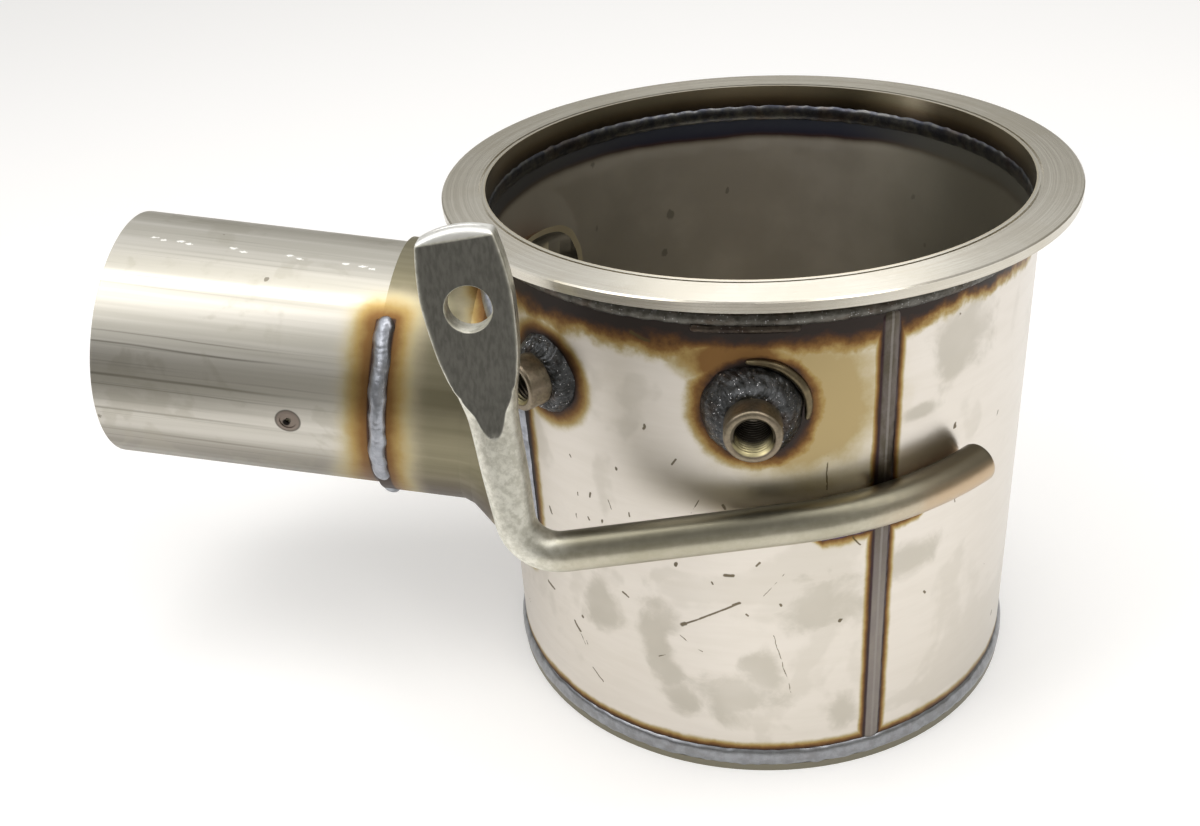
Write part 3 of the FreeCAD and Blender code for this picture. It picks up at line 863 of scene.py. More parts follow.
# %% Cut the eye's hole
CUTTER_PROFILE = [(8.9, -7.0), (8.1, -5.2), (7.62, -4.7), (7.5, -4.2), (7.5, 4.2), (7.62, 4.7),
                  (8.1, 5.2), (8.9, 7.0)]
CUTTER_SIDES = 96

hole_centre = hanger_frame @ (corner_of_bar + rise_dir * EYE_DISTANCE)
hole_axis = (hanger_frame.to_3x3() @ bend_normal).normalized()
hole_side = (hanger_frame.to_3x3() @ across_dir).normalized()
hole_up = hole_axis.cross(hole_side)
cutter_rings = []
for r, z in CUTTER_PROFILE:
    turns = [2 * math.pi * k / CUTTER_SIDES for k in range(CUTTER_SIDES)]
    cutter_rings.append([hole_centre + hole_axis * z * MM
                         + (hole_side * math.cos(a) + hole_up * math.sin(a)) * r * MM for a in turns])
cutter_mesh = bpy.data.meshes.new("eye_cutter")
cutter_corners, cutter_faces = skin(cutter_rings, False)
cutter_mesh.from_pydata([tuple(c) for c in cutter_corners], [], cutter_faces)
cutter = bpy.data.objects.new("eye_cutter", cutter_mesh)
bpy.context.scene.collection.objects.link(cutter)
cut = hanger.modifiers.new("eye", "BOOLEAN")
cut.operation = "DIFFERENCE"
cut.solver = "EXACT"
cut.object = cutter
bpy.context.view_layer.objects.active = hanger
bpy.ops.object.modifier_apply(modifier="eye")
bpy.data.objects.remove(cutter)
hanger.data.shade_smooth()
hanger.data.set_sharp_from_angle(angle=math.radians(32))
print("hanger", len(hanger.data.polygons), "faces")


# %% Weld the hanger to the drum
def hanger_weld_stations():
    """Stations below the bar, from the drum up to the bar's underside."""
    made = []
    for angle in steps(3.5, 28.5, 110):
        out = outward(angle)
        toe = at_wall(hanger_frame @ (out * 104.6 * MM + Vector((0, 0, -12.6 * MM))))
        other = hanger_frame @ (out * 112.0 * MM + Vector((0, 0, -6.6 * MM)))
        root = hanger_frame @ (out * 105.0 * MM + Vector((0, 0, -3.0 * MM)))
        lift = (hanger_frame.to_3x3() @ (out * 0.55 + Vector((0, 0, -0.8)))).normalized() * 0.6 * MM
        made.append((toe, other, root, lift))
    return made


hanger_bead = weld("hanger_bead", "hanger_weld", hanger_weld_stations(), 20,
                   pitch=1.8 * MM, ripple=0.2, lumps=0.4)

# %% [markdown]
# ## Tools for finishes
# Heat tint, smudges, spatter and scratches lie on several parts at once, so each is a shader
# node group with named inputs. They work on the place in the part's own frame, in metres,
# which keeps a tint beside its weld on every piece that it crosses.

# %% Helpers for places, noise and vectors
FRONT = (0.0, -1.0, 0.0)


def place_in(tree):
    return Field(tree.nodes.new("ShaderNodeTexCoord").outputs["Object"])


def vector_calc(operation, *values):
    node = tree_of(values).nodes.new("ShaderNodeVectorMath")
    node.operation = operation
    for socket, value in zip(node.inputs, values):
        plug(socket, value)
    single = operation in ("DOT_PRODUCT", "LENGTH", "DISTANCE")
    return Field(node.outputs["Value" if single else "Vector"])


def dot(first, second):
    return vector_calc("DOT_PRODUCT", first, second)


def stretched(place, scale):
    return vector_calc("MULTIPLY", place, scale)


def parts_of(place):
    node = place.tree.nodes.new("ShaderNodeSeparateXYZ")
    plug(node.inputs[0], place)
    return [Field(socket) for socket in node.outputs]


def joined(*parts):
    node = tree_of(parts).nodes.new("ShaderNodeCombineXYZ")
    for socket, value in zip(node.inputs, parts):
        plug(socket, value)
    return Field(node.outputs[0])


def across(first, second):
    """The length of two distances at right angles."""
    return calc("SQRT", first * first + second * second)


def noise_at(place, scale=1.0, detail=2.0, rough=0.5, distortion=0.0):
    node = place.tree.nodes.new("ShaderNodeTexNoise")
    labels = ("Vector", "Scale", "Detail", "Roughness", "Distortion")
    for label, value in zip(labels, (place, scale, detail, rough, distortion)):
        plug(node.inputs[label], value)
    return Field(node.outputs[0])


def cells_at(place, scale):
    """Scattered points: the distance from the nearest one, and three random values of its own."""
    node = place.tree.nodes.new("ShaderNodeTexVoronoi")
    plug(node.inputs["Vector"], place)
    plug(node.inputs["Scale"], scale)
    chance = place.tree.nodes.new("ShaderNodeSeparateColor")
    plug(chance.inputs[0], Field(node.outputs["Color"]))
    return Field(node.outputs["Distance"]), [Field(socket) for socket in chance.outputs]


# %% Helpers for colours and relief
def between(value, low, high, start=0.0, end=1.0, kind="SMOOTHSTEP"):
    """Goes from start to end, and no further, while the value goes from low to high."""
    node = value.tree.nodes.new("ShaderNodeMapRange")
    node.interpolation_type = kind
    labels = ("Value", "From Min", "From Max", "To Min", "To Max")
    for label, number in zip(labels, (value, low, high, start, end)):
        plug(node.inputs[label], number)
    return Field(node.outputs["Result"])


def mixed(factor, first, second):
    node = tree_of((factor, first, second)).nodes.new("ShaderNodeMix")
    node.data_type = "RGBA"
    plug(node.inputs["Factor"], factor)
    for label, value in (("A", first), ("B", second)):
        plug([s for s in node.inputs if s.name == label and s.type == "RGBA"][0], value)
    return Field([s for s in node.outputs if s.type == "RGBA"][0])


def painted(colour, *coats):
    """A colour under coats of (mask, paint), the last one on top."""
    for mask, paint in coats:
        colour = mixed(mask, colour, paint)
    return colour


def colours(factor, stops):
    node = factor.tree.nodes.new("ShaderNodeValToRGB")
    plug(node.inputs["Fac"], factor)
    ramp = node.color_ramp
    while len(ramp.elements) < len(stops):
        ramp.elements.new(0.5)
    for element, (at, colour) in zip(ramp.elements, stops):
        element.position = at
        element.color = (*colour, 1)
    return Field(node.outputs["Color"])


def bumped(height, strength, distance, normal=None):
    node = height.tree.nodes.new("ShaderNodeBump")
    plug(node.inputs["Strength"], strength)
    plug(node.inputs["Distance"], distance)
    plug(node.inputs["Height"], height)
    if normal is not None:
        plug(node.inputs["Normal"], normal)
    return Field(node.outputs["Normal"])


# %% Helpers for groups and metals
def new_group(name, inputs, outputs):
    """An empty node group; a default's length says if an input is a value, place or colour."""
    kinds = {1: "NodeSocketFloat", 3: "NodeSocketVector", 4: "NodeSocketColor"}
    group = bpy.data.node_groups.new(name, "ShaderNodeTree")
    for label, default in inputs.items():
        length = len(default) if isinstance(default, tuple) else 1
        socket = group.interface.new_socket(name=label, in_out="INPUT", socket_type=kinds[length])
        socket.default_value = default
    for label in outputs:
        kind = kinds[4 if label == "Colour" else 1]
        group.interface.new_socket(name=label, in_out="OUTPUT", socket_type=kind)
    print("group", name)
    given = {socket.name: Field(socket) for socket in group.nodes.new("NodeGroupInput").outputs}
    return group, given, group.nodes.new("NodeGroupOutput").inputs


def use_group(tree, group, **values):
    node = tree.nodes.new("ShaderNodeGroup")
    node.node_tree = group
    for label, value in values.items():
        plug(node.inputs[label], value)
    return {socket.name: Field(socket) for socket in node.outputs}


def begin(name):
    """Begins a material: what metal() ends it with, its tree and the place in that tree."""
    begun = new_material(name)
    tree = begun[0].node_tree
    return begun, tree, place_in(tree)


def metal(begun, colour, roughness, normal):
    """Ends a material: a metal of this colour and roughness."""
    material, out = begun
    shader = material.node_tree.nodes.new("ShaderNodeBsdfPrincipled")
    for label, value in (("Base Color", colour), ("Metallic", 1.0), ("Roughness", roughness),
                         ("Normal", normal)):
        plug(shader.inputs[label], value)
    plug(out.inputs["Surface"], Field(shader.outputs[0]))
    print("material", material.name)
    return material


# %% Group: a place on the drum
drum_place, given, gives = new_group("drum_place", {}, ["Along", "Height", "Radius"])
east, north, high_up = parts_of(place_in(drum_place))
plug(gives["Along"], calc("ARCTAN2", east, north * -1.0) * CAN_R)
plug(gives["Height"], high_up)
plug(gives["Radius"], across(east, north))

# %% [markdown]
# Stainless steel turns straw, orange, brown, purple and blue as it gets hotter, so beside a
# weld the colours come in that order. "Heat" runs from 0 at the weld to 1 where the tint ends.
# One group turns a distance into heat with a wandering edge, and the other colours it.

# %% Group: heat beside a weld
tint_band, given, gives = new_group(
    "tint_band", {"Distance": 0.0, "Reach": 0.01, "Wander": 0.002}, ["Heat"])
shift = (noise_at(place_in(tint_band), 95.0, 5.0, 0.62) - 0.5) * (given["Wander"] * 4.0)
plug(gives["Heat"], calc("DIVIDE", given["Distance"] + shift, given["Reach"], clamp=True))


def heat(distance, reach, wander):
    return use_group(distance.tree, tint_band, Distance=distance, Reach=reach, Wander=wander)["Heat"]


# %% Group: temper colours
temper, given, gives = new_group(
    "temper_colours", {"Heat": 1.0, "Base": (0.7, 0.65, 0.57, 1.0)}, ["Colour", "Mask"])
tints = colours(given["Heat"], [
    (0.0, (0.040, 0.033, 0.030)), (0.12, (0.060, 0.038, 0.030)), (0.25, (0.115, 0.060, 0.028)),
    (0.40, (0.215, 0.115, 0.042)), (0.56, (0.37, 0.26, 0.10)), (0.76, (0.50, 0.43, 0.26)),
    (1.0, (0.64, 0.58, 0.46))])
mask = between(given["Heat"], 1.0, 0.62)
plug(gives["Colour"], mixed(mask, given["Base"], tints))
plug(gives["Mask"], mask)

# %% [markdown]
# Handling leaves dull grey patches, and welding throws small drops that stick as dark flecks.
# Both come from noise, so they cover the sides that the photograph doesn't show as well.

# %% Group: smudges
smudges, given, gives = new_group("smudges", {"Scale": 22.0, "Amount": 0.5}, ["Mask"])
place = place_in(smudges)
big = noise_at(place, given["Scale"], 3.0, 0.55, 0.8)
small = noise_at(place, given["Scale"] * 5.0, 3.0, 0.6)
plug(gives["Mask"], between(big + (small - 0.5) * 0.22, 0.54, 0.62) * given["Amount"])

# %% Group: flecks of spatter
flecks, given, gives = new_group("flecks", {"Scale": 90.0, "Size": 0.12, "Share": 0.3}, ["Mask"])
place = place_in(flecks)
warp = stretched(noise_at(place, 400.0, 1.0), (0.0016, 0.0016, 0.0034))
warped = stretched(vector_calc("ADD", place, warp), (1.0, 1.0, 0.72))
away, chance = cells_at(warped, given["Scale"])
drop = between(away / (given["Size"] * (chance[1] + 0.25)), 1.1, 0.75)
plug(gives["Mask"], drop * calc("LESS_THAN", chance[0], given["Share"]))


def specks(tree, scale, size, share):
    return use_group(tree, flecks, Scale=scale, Size=size, Share=share)["Mask"]


# %% Group: one scratch or run between two places on the drum
stroke, given, gives = new_group(
    "stroke", {"Along": 0.0, "Height": 0.0, "From": (0, 0, 0), "To": (0, 0, 0), "Width": 0.0005},
    ["Mask"])
shake = (noise_at(place_in(stroke), 160.0, 3.0) - 0.5) * 0.002
here = vector_calc("ADD", joined(given["Along"], given["Height"]), shake)
reach_line = vector_calc("SUBTRACT", given["To"], given["From"])
from_start = vector_calc("SUBTRACT", here, given["From"])
part = calc("DIVIDE", dot(from_start, reach_line), dot(reach_line, reach_line), clamp=True)
away = vector_calc("DISTANCE", from_start, vector_calc("MULTIPLY", reach_line, part))
plug(gives["Mask"], between(away / given["Width"], 1.2, 0.6))

# %% Group: streaks along a direction
streaks, given, gives = new_group("streaks", {"Place": (0, 0, 0)}, ["Fine", "Broad"])
plug(gives["Fine"], noise_at(stretched(given["Place"], (6.0, 620.0, 620.0)), 1.0, 3.0, 0.6))
plug(gives["Broad"], noise_at(stretched(given["Place"], (3.0, 130.0, 130.0)), 1.0, 3.0, 0.55))

# %% [markdown]
# ## The drum
# The sheet is pale and glossy enough to mirror the hanger, with a tint beside every weld. The
# heats of all the welds are worked out, and the smallest wins. Grey patches, dark flecks, the
# long run in the middle and a few scratches sit where the real drum has them.

# %% Heat on the drum
SEAM_ALONG = math.radians(SEAM_AZIMUTH) * CAN_R

drum, tree, place = begin("drum_steel")
on = use_group(tree, drum_place)
along, height, radius = on["Along"], on["Height"], on["Radius"]
east, north, high_up = parts_of(place)


def spot_distance(centre_along, centre_height, wide=1.0, tall=1.0):
    """How far a place on the drum is from a centre, measured in an oval."""
    return across((along - centre_along) / wide, (height - centre_height) / tall)


right_side = between(along, 30 * MM, 70 * MM) * between(along, 300 * MM, 220 * MM)
below_flange = right_side * (3.0 * MM) + 187.5 * MM - height
from_seam = abs(along - SEAM_ALONG)
mouth_side = (abs(north) / MOUTH_HALF_WIDTH) ** 5.0
mouth_up = (abs(height - 117.2 * MM) / (57.0 * MM)) ** 5.0
inlet_side = calc("GREATER_THAN", east, 0.0)
beside_mouth = ((mouth_side + mouth_up) ** 0.2 - 1.0) * MOUTH_HALF_WIDTH + inlet_side - 4.6 * MM
rod_line = (along - 14 * MM) * 0.06 + 107.6 * MM
under_rod = abs(height - rod_line) + largest(23 * MM - along, along - 60 * MM, 0.0)

heats = [
    heat(below_flange, 12.0 * MM - right_side * (4.5 * MM), 3.0 * MM),
    heat(from_seam - 2.9 * MM, 3.4 * MM, 0.4 * MM),
    heat(height - 9.0 * MM, 5.5 * MM, 0.8 * MM),
    heat(spot_distance(0.2 * MM, 160.7 * MM) - 17.3 * MM, 8.5 * MM, 1.8 * MM),
    heat(spot_distance(15 * MM, 161 * MM, 1.0, 0.95) - 21 * MM, 22 * MM, 4.0 * MM) * 0.36 + 0.64,
    heat(spot_distance(-81.2 * MM, 159 * MM) - 14.4 * MM, 9 * MM, 1.2 * MM),
    heat(spot_distance(-6 * MM, 179 * MM, 1.5, 0.7) - 9 * MM, 9 * MM, 2.0 * MM) * 0.6 + 0.4,
    heat(beside_mouth, 5.5 * MM, 0.9 * MM),
    heat(under_rod - 0.8 * MM, 5.5 * MM, 1.2 * MM)]
hottest = heats[0]
for value in heats[1:]:
    hottest = calc("MINIMUM", hottest, value)
print("heat beside", len(heats), "welds")

# %% [markdown]
# The grey patches and the larger flecks are listed as places on the drum: along it from the
# front and up from the floor, in millimetres. Noise gives the patches their ragged edges.

# %% Patches and flecks on the drum
PATCHES = [
    (-37, 60, 8, 22), (-29, 32, 9, 9), (-8, 35, 18, 12), (24, 79, 15, 16), (3, 49, 10, 11),
    (-62, 66, 9, 13), (32, 26, 6, 10), (57, 90, 14, 8), (-33, 42, 6, 9), (75, 171, 17, 15),
    (59, 151, 8, 3)]
FLECKS = [
    (-27.2, 139.6, -28.8, 137.2, 0.26), (-63.1, 115.7, -63.6, 113.8, 0.29), (-72, 128.7, -71.6, 127.8, 0.24),
    (-69.5, 113.4, -69.3, 112.3, 0.2), (-87.3, 98.9, -86.3, 96.3, 0.4), (-65.4, 104, -64.9, 103.2, 0.35),
    (-54.9, 115.8, -53.7, 112.2, 0.14), (-46.5, 112.8, -46.2, 111.5, 0.25), (-71.5, 103.1, -70.9, 101.6, 0.2),
    (-22.3, 118.4, -19.5, 124.3, 0.15), (-11.3, 122.7, -10.4, 121.6, 0.4), (0.3, 97.8, 1.3, 99, 0.35),
    (-11.1, 92.9, -8.1, 93, 0.45), (-15.7, 89.4, -15.4, 88.6, 0.3), (-51.3, 75.7, -48.8, 74.3, 0.3),
    (-94.8, 59, -90.4, 57.7, 0.4), (-78, 48.9, -75, 45.6, 0.42), (-71.8, 42.4, -70.6, 39.1, 0.15),
    (-69.3, 30.1, -64.3, 25.6, 0.3), (-75.1, 44.7, -72.1, 39.3, 0.12), (8.4, 80.3, 8.6, 79.6, 0.35),
    (-3.7, 75.8, -3, 75.3, 0.3), (-37.5, 49.8, -35, 51.2, 0.2), (65.3, 71.6, 65.7, 70.9, 0.45),
    (34.1, 106.4, 36.6, 102.1, 0.3), (-27.3, 67.9, -6.1, 80.8, 0.3), (-27.6, 67.7, -26.4, 68.4, 0.62),
    (-8.4, 79.6, -6, 80.9, 0.42), (6, 66, 12.6, 38.6, 0.13), (-30.3, 63.7, -20.1, 56.5, 0.13),
    (10, 94.1, 2.5, 84.3, 0.1), (23.9, 127.8, 23.8, 141.1, 0.2), (77.2, 108.6, 77.8, 106, 0.2),
    (-41, 186, -35, 183.5, 0.4)]
FLECK_SWELL = 1.5

grey = use_group(tree, smudges, Scale=17.0, Amount=0.24)["Mask"]
patch_edge = (noise_at(place, 60.0, 5.0, 0.6, 0.4) - 0.5) * 2.6
for a, h, wide, tall in PATCHES:
    size = spot_distance(a * MM, h * MM, float(wide), float(tall)) * 1000.0 + patch_edge
    grey = largest(grey, between(size, 0.45, 1.25, 0.62, 0.0))
grey = grey * between(noise_at(place, 26.0, 3.0), 0.25, 0.6, 0.55, 1.0)
marks = specks(tree, 105.0, 0.10, 0.24)
for a0, h0, a1, h1, width in FLECKS:
    line = use_group(tree, stroke, Along=along, Height=height, Width=width * FLECK_SWELL * MM,
                     From=(a0 * MM, h0 * MM, 0), To=(a1 * MM, h1 * MM, 0))
    marks = largest(marks, line["Mask"])
print(len(PATCHES), "patches,", len(FLECKS), "flecks and scratches")

# %% Finish of the drum's outside
SHEET = (0.735, 0.69, 0.63)

outside = between(radius, 103.0 * MM, 104.0 * MM)
marks = marks * outside
cloud = between(noise_at(place, 8.0, 3.0, 0.6), 0.35, 0.7)
rolled = between(noise_at(stretched(place, (40.0, 40.0, 260.0)), 1.0, 3.0, 0.6), 0.35, 0.7)
sheet = painted(SHEET, (grey, (0.42, 0.395, 0.33)), (cloud * 0.22, (0.60, 0.545, 0.445)),
                (rolled * 0.14, (0.56, 0.51, 0.43)))
tempered = use_group(tree, temper, Heat=hottest, Base=sheet)
rod_core = under_rod + (noise_at(place, 300.0, 3.0) - 0.5) * (2 * MM)
outer = painted(tempered["Colour"], (marks * 0.85, (0.125, 0.095, 0.045)),
                (between(rod_core, 0.8 * MM, 2.2 * MM, 0.85, 0.0), (0.085, 0.07, 0.17)))

# %% Finish of the drum's inside, and the whole drum
inner_grain = noise_at(place, 26.0, 4.0)
inner_down = 190.4 * MM - height + (inner_grain - 0.5) * (4 * MM)
inner_tint = colours(between(inner_down, 0.0, 10 * MM), [
    (0.0, (0.085, 0.095, 0.13)), (0.5, (0.06, 0.06, 0.095)), (0.72, (0.095, 0.06, 0.058)),
    (1.0, (0.40, 0.35, 0.27))])
# The inside is painted darker towards both sides, more on the right.
darker_inner_sides = largest(between(east, 35 * MM, 92 * MM), between(east, -40 * MM, -95 * MM, 0.0, 0.45))
inner = mixed(between(inner_grain, 0.35, 0.65), (0.585, 0.545, 0.48), (0.70, 0.655, 0.58))
inner = painted(inner, (between(inner_down, 10 * MM, 6.5 * MM), inner_tint),
                (specks(tree, 62.0, 0.10, 0.75) * 0.6, (0.22, 0.20, 0.16)),
                (darker_inner_sides * 0.75, (0.30, 0.29, 0.235)))
dull_left = between(along, 2 * MM, -30 * MM, 0.0, 0.16) * between(along, -200 * MM, -130 * MM)
drum_rough = (between(grey, 0.0, 0.6, 0.28, 0.35) + marks * 0.2 + dull_left * outside
              + tempered["Mask"] * 0.06 + (1.0 - outside) * 0.16)
drum_normal = bumped(noise_at(place, 11.0, 1.0), 0.2, 4 * MM)
grain = noise_at(stretched(place, (700.0, 700.0, 2600.0)))
drum_normal = bumped(grain, 0.05, 0.1 * MM, drum_normal)
drum_steel = metal(drum, mixed(outside, inner, outer), drum_rough, drum_normal)

# %% [markdown]
# ## The inlet
# The pipe is drawn tube: fine lines run along it, and the room makes a white band and a dark
# one. Its lower side is painted darker as shade. Its tint starts about 20 mm before the stitch and
# ends in a thin dark line. The collar is olive all over, because it was welded on both sides; its
# lower side is painted darker as shade, and its end face inside the drum has a painted highlight.

# %% Helpers for the inlet's finish
DARK_LINE = (0.2 * MM, 1.1 * MM)


def inlet_place(place):
    """Place along the inlet, across it and up from it: as one vector, and in parts."""
    moved = vector_calc("SUBTRACT", place, inlet_origin)
    made = joined(dot(moved, inlet_axis), dot(moved, FRONT), dot(moved, inlet_up))
    return made, *parts_of(made)


def stitch_distance(beside, front, above):
    """Distance from the nearest stitch weld, which leave the top and the bottom free."""
    turn = abs(calc("ARCTAN2", front, above))
    past_end = largest(math.radians(43) - turn, turn - math.radians(150), 0.0) * PIPE_R
    return across(largest(beside, 0.0), past_end)


def scorched(hot, power, least, beside):
    """Heat that starts at a straw tint, with a thin dark line along the weld."""
    return between(hot ** power, 0.0, 1.0, least, 1.0) * between(beside, *DARK_LINE, 0.35, 1.0)


# %% Finish of the pipe
DRAWN_LINES = [
    (62, 0.35, 0.6), (67, 0.5, 0.75), (81, 0.7, 0.7), (86, 0.4, 0.5), (99, 0.8, 0.45), (113, 0.6, 0.7),
    (118, 0.35, 0.6), (40, 0.3, 0.3), (-35, 0.6, 0.5), (-80, 0.7, 0.6), (160, 0.8, 0.6), (200, 0.5, 0.5)]
SCUFFS = [(247, 12.5), (242.5, 13.5), (236, 13), (232.5, 14), (214.5, 13.5), (210, 15), (192, 14),
          (187.5, 15.5), (169, 15), (162, 15.5), (158, 16.5)]

pipe, tree, place = begin("pipe_steel")
tube_place, distance, front, above = inlet_place(place)
lines = use_group(tree, streaks, Place=tube_place)
tube = mixed(between(lines["Broad"], 0.35, 0.68), (0.47, 0.45, 0.395), (0.60, 0.575, 0.52))
tube = mixed(between(lines["Fine"], 0.56, 0.72, 0.0, 0.4), tube, (0.27, 0.255, 0.215))
wavering = noise_at(stretched(tube_place, (14.0, 40.0, 40.0)))
turn = calc("ARCTAN2", front, above) + (wavering - 0.5) * 0.05
line_share = between(lines["Fine"], 0.35, 0.55, 0.5, 1.0) * between(distance, 175 * MM, 215 * MM, 0.25, 1.0)
for turn_at, thick, depth in DRAWN_LINES:
    from_line = abs(turn - math.radians(turn_at))
    line = between(from_line, 0.0, math.radians(thick * 1.6), depth, 0.0) * line_share
    tube = mixed(line, tube, (0.20, 0.185, 0.15))
# The pipe's lower side is painted darker as shade; the smudges over it are dirt.
tube = painted(tube, (between(above, -10 * MM, -30 * MM, 0.0, 0.85), (0.22, 0.20, 0.165)),
               (use_group(tree, smudges, Scale=34.0, Amount=0.30)["Mask"], (0.36, 0.335, 0.27)))

# %% Heat, pit and scuffs on the pipe
before_stitch = stitch_distance(distance - STITCH_TOE + 0.2 * MM, front, above)
pipe_reach = between(above, -12 * MM, -46 * MM, 0.0, 14 * MM) + 20 * MM
pipe_heat = scorched(heat(before_stitch, pipe_reach, 1.1 * MM), 0.8, 0.33, before_stitch)
pit = vector_calc("DISTANCE", place, on_inlet(183.0 * MM, 93.6, PIPE_R))
hole = vector_calc("DISTANCE", place, on_inlet(183.8 * MM, 94.8, PIPE_R))
ragged = (noise_at(place, 900.0) - 0.5) * (1.5 * MM)
scuff = 0.0
for at, turn_at in SCUFFS:
    moved = vector_calc("SUBTRACT", place, on_inlet(at * MM, turn_at, PIPE_R))
    size = across(dot(moved, inlet_axis) * 0.42, dot(moved, FRONT)) + ragged
    scuff = largest(scuff, between(size, 0.75 * MM, 0.35 * MM))
pipe_colour = painted(
    use_group(tree, temper, Heat=pipe_heat, Base=tube)["Colour"],
    (specks(tree, 85.0, 0.07, 0.16) * 0.7, (0.12, 0.10, 0.07)),
    (between(pit, 4.9 * MM, 5.5 * MM, 0.85, 0.0), (0.085, 0.07, 0.058)),
    (between(pit, 4.1 * MM, 4.8 * MM, 0.95, 0.0), (0.235, 0.195, 0.165)),
    (between(hole, 1.9 * MM, 1.2 * MM), (0.01, 0.009, 0.008)),
    (scuff * 0.9, (0.93, 0.92, 0.89)),
    (between(across(front, above), 49.6 * MM, 49.0 * MM), (0.40, 0.38, 0.32)))
pipe_rough = between(lines["Broad"], 0.3, 0.7, 0.46, 0.36) + scuff * 0.2
pipe_normal = bumped(lines["Broad"], 0.10, 0.5 * MM, bumped(lines["Fine"], 0.09, 0.15 * MM))
pipe_steel = metal(pipe, pipe_colour, pipe_rough, pipe_normal)

# %% Finish of the collar
collar, tree, place = begin("collar_steel")
tube_place, distance, front, above = inlet_place(place)
on = use_group(tree, drum_place)
lines = use_group(tree, streaks, Place=tube_place)
olive = mixed(between(lines["Broad"], 0.3, 0.7), (0.205, 0.185, 0.12), (0.27, 0.245, 0.165))
# The collar's lower side is painted darker as shade.
olive = mixed(between(above, -14 * MM, -38 * MM, 0.0, 0.85), olive, (0.11, 0.086, 0.07))
after_stitch = stitch_distance(STITCH_OTHER_TOE + 0.5 * MM - distance, front, above)
near_heat = heat(after_stitch, 20 * MM, 1.2 * MM)
drum_heat = heat(on["Radius"] - 107.5 * MM, 13 * MM, 1.6 * MM)
coolest = scorched(calc("MINIMUM", near_heat, drum_heat), 0.7, 0.32, after_stitch)
facing = Field(tree.nodes.new("ShaderNodeNewGeometry").outputs["Normal"])
faces_out = dot(facing, FRONT) * front + dot(facing, inlet_up) * above
from_axis = stretched(place, (1.0, 1.0, 0.0))
# Faces turned towards the drum's axis, the mouth's end face inside the drum, get a light cream painted
# highlight.
to_axis = dot(facing, from_axis) / on["Radius"]
collar_colour = painted(
    use_group(tree, temper, Heat=coolest, Base=olive)["Colour"],
    (specks(tree, 85.0, 0.08, 0.15) * 0.7, (0.10, 0.08, 0.05)),
    (between(faces_out, -8 * MM, -14 * MM), (0.15, 0.14, 0.12)),
    (between(to_axis, -0.72, -0.86), (0.80, 0.72, 0.52)))
collar_steel = metal(collar, collar_colour, between(lines["Broad"], 0.3, 0.7, 0.50, 0.43),
                     bumped(lines["Fine"], 0.08, 0.15 * MM))

# %% [markdown]
# ## The flange and the end plate
# The flange is turned, so its grain runs in rings. Its bore and its back are brown from the
# welds on both sides.

# %% Finish of the turned parts
flange, tree, place = begin("flange_steel")
on = use_group(tree, drum_place)
rings = noise_at(joined(on["Radius"] * 2600.0, on["Height"] * 2600.0, on["Along"] * 12.0), 1.0, 3.0, 0.6)
face = mixed(between(rings, 0.35, 0.65), (0.60, 0.565, 0.49), (0.68, 0.65, 0.575))
worn = between(noise_at(place, 45.0, 4.0, 0.6), 0.4, 0.65)
bore_colour = colours(between(on["Height"], 196.5 * MM, TOP), [
    (0.0, (0.085, 0.065, 0.05)), (0.4, (0.27, 0.215, 0.145)), (1.0, (0.62, 0.56, 0.43))])
back_colour = mixed(between(on["Radius"], 105 * MM, 116 * MM), (0.24, 0.20, 0.15), (0.42, 0.40, 0.35))
flange_colour = painted(face, (worn * 0.25, (0.52, 0.47, 0.37)),
                        (between(on["Height"], 202.4 * MM, 201.6 * MM), back_colour),
                        (between(on["Radius"], 102.3 * MM, 101.7 * MM), bore_colour))
flange_steel = metal(flange, flange_colour, between(rings, 0.3, 0.7, 0.22, 0.26),
                     bumped(rings, 0.05, 0.1 * MM))

plate, tree, place = begin("plate_steel")
on = use_group(tree, drum_place)
grain = noise_at(stretched(place, (60.0, 900.0, 900.0)), 1.0, 3.0)
plate_colour = mixed(between(grain, 0.35, 0.65), (0.36, 0.34, 0.29), (0.52, 0.50, 0.44))
rim_heat = heat(103.0 * MM - on["Radius"], 14 * MM, 2.0 * MM)
plate_colour = painted(use_group(tree, temper, Heat=rim_heat, Base=plate_colour)["Colour"],
                       (between(on["Radius"], 105.3 * MM, 105.6 * MM), (0.22, 0.205, 0.155)))
plate_steel = metal(plate, plate_colour, 0.36, bumped(grain, 0.08, 0.1 * MM))


# %% [markdown]
# ## Weld metal
# The beads are blue-grey with a rough, glinting skin: dark and light metal in blotches, brown
# stains, and scattered near-white points that are painted glints. One function makes the shades:
# pale blue on the stitch, dark on the flange. The tie-in under the flange is burnt, and also painted
# near black as shade.

# %% Finish of the beads
def weld_metal(name, dark, light, roughness, sparkle, stains, glint, stain_tint=(0.10, 0.055, 0.03)):
    begun, _, place = begin(name)
    blotch = between(noise_at(place, 240.0, 4.0, 0.6), 0.35, 0.68)
    stain = between(noise_at(place, 90.0, 3.0), 0.52, 0.68, 0.0, stains)
    away, chance = cells_at(place, 1500.0)
    # Scattered near-white points are painted glints, and a little smoother.
    painted_glints = between(away, 0.18, 0.3, glint, 0.0) * calc("LESS_THAN", chance[0], 0.22)
    colour = painted(dark, (blotch, light), (stain, stain_tint), (painted_glints, (0.78, 0.78, 0.80)))
    normal = bumped(noise_at(place, 1300.0, 4.0, 0.7), sparkle, 0.35 * MM)
    return metal(begun, colour, roughness - painted_glints * 0.2, normal)


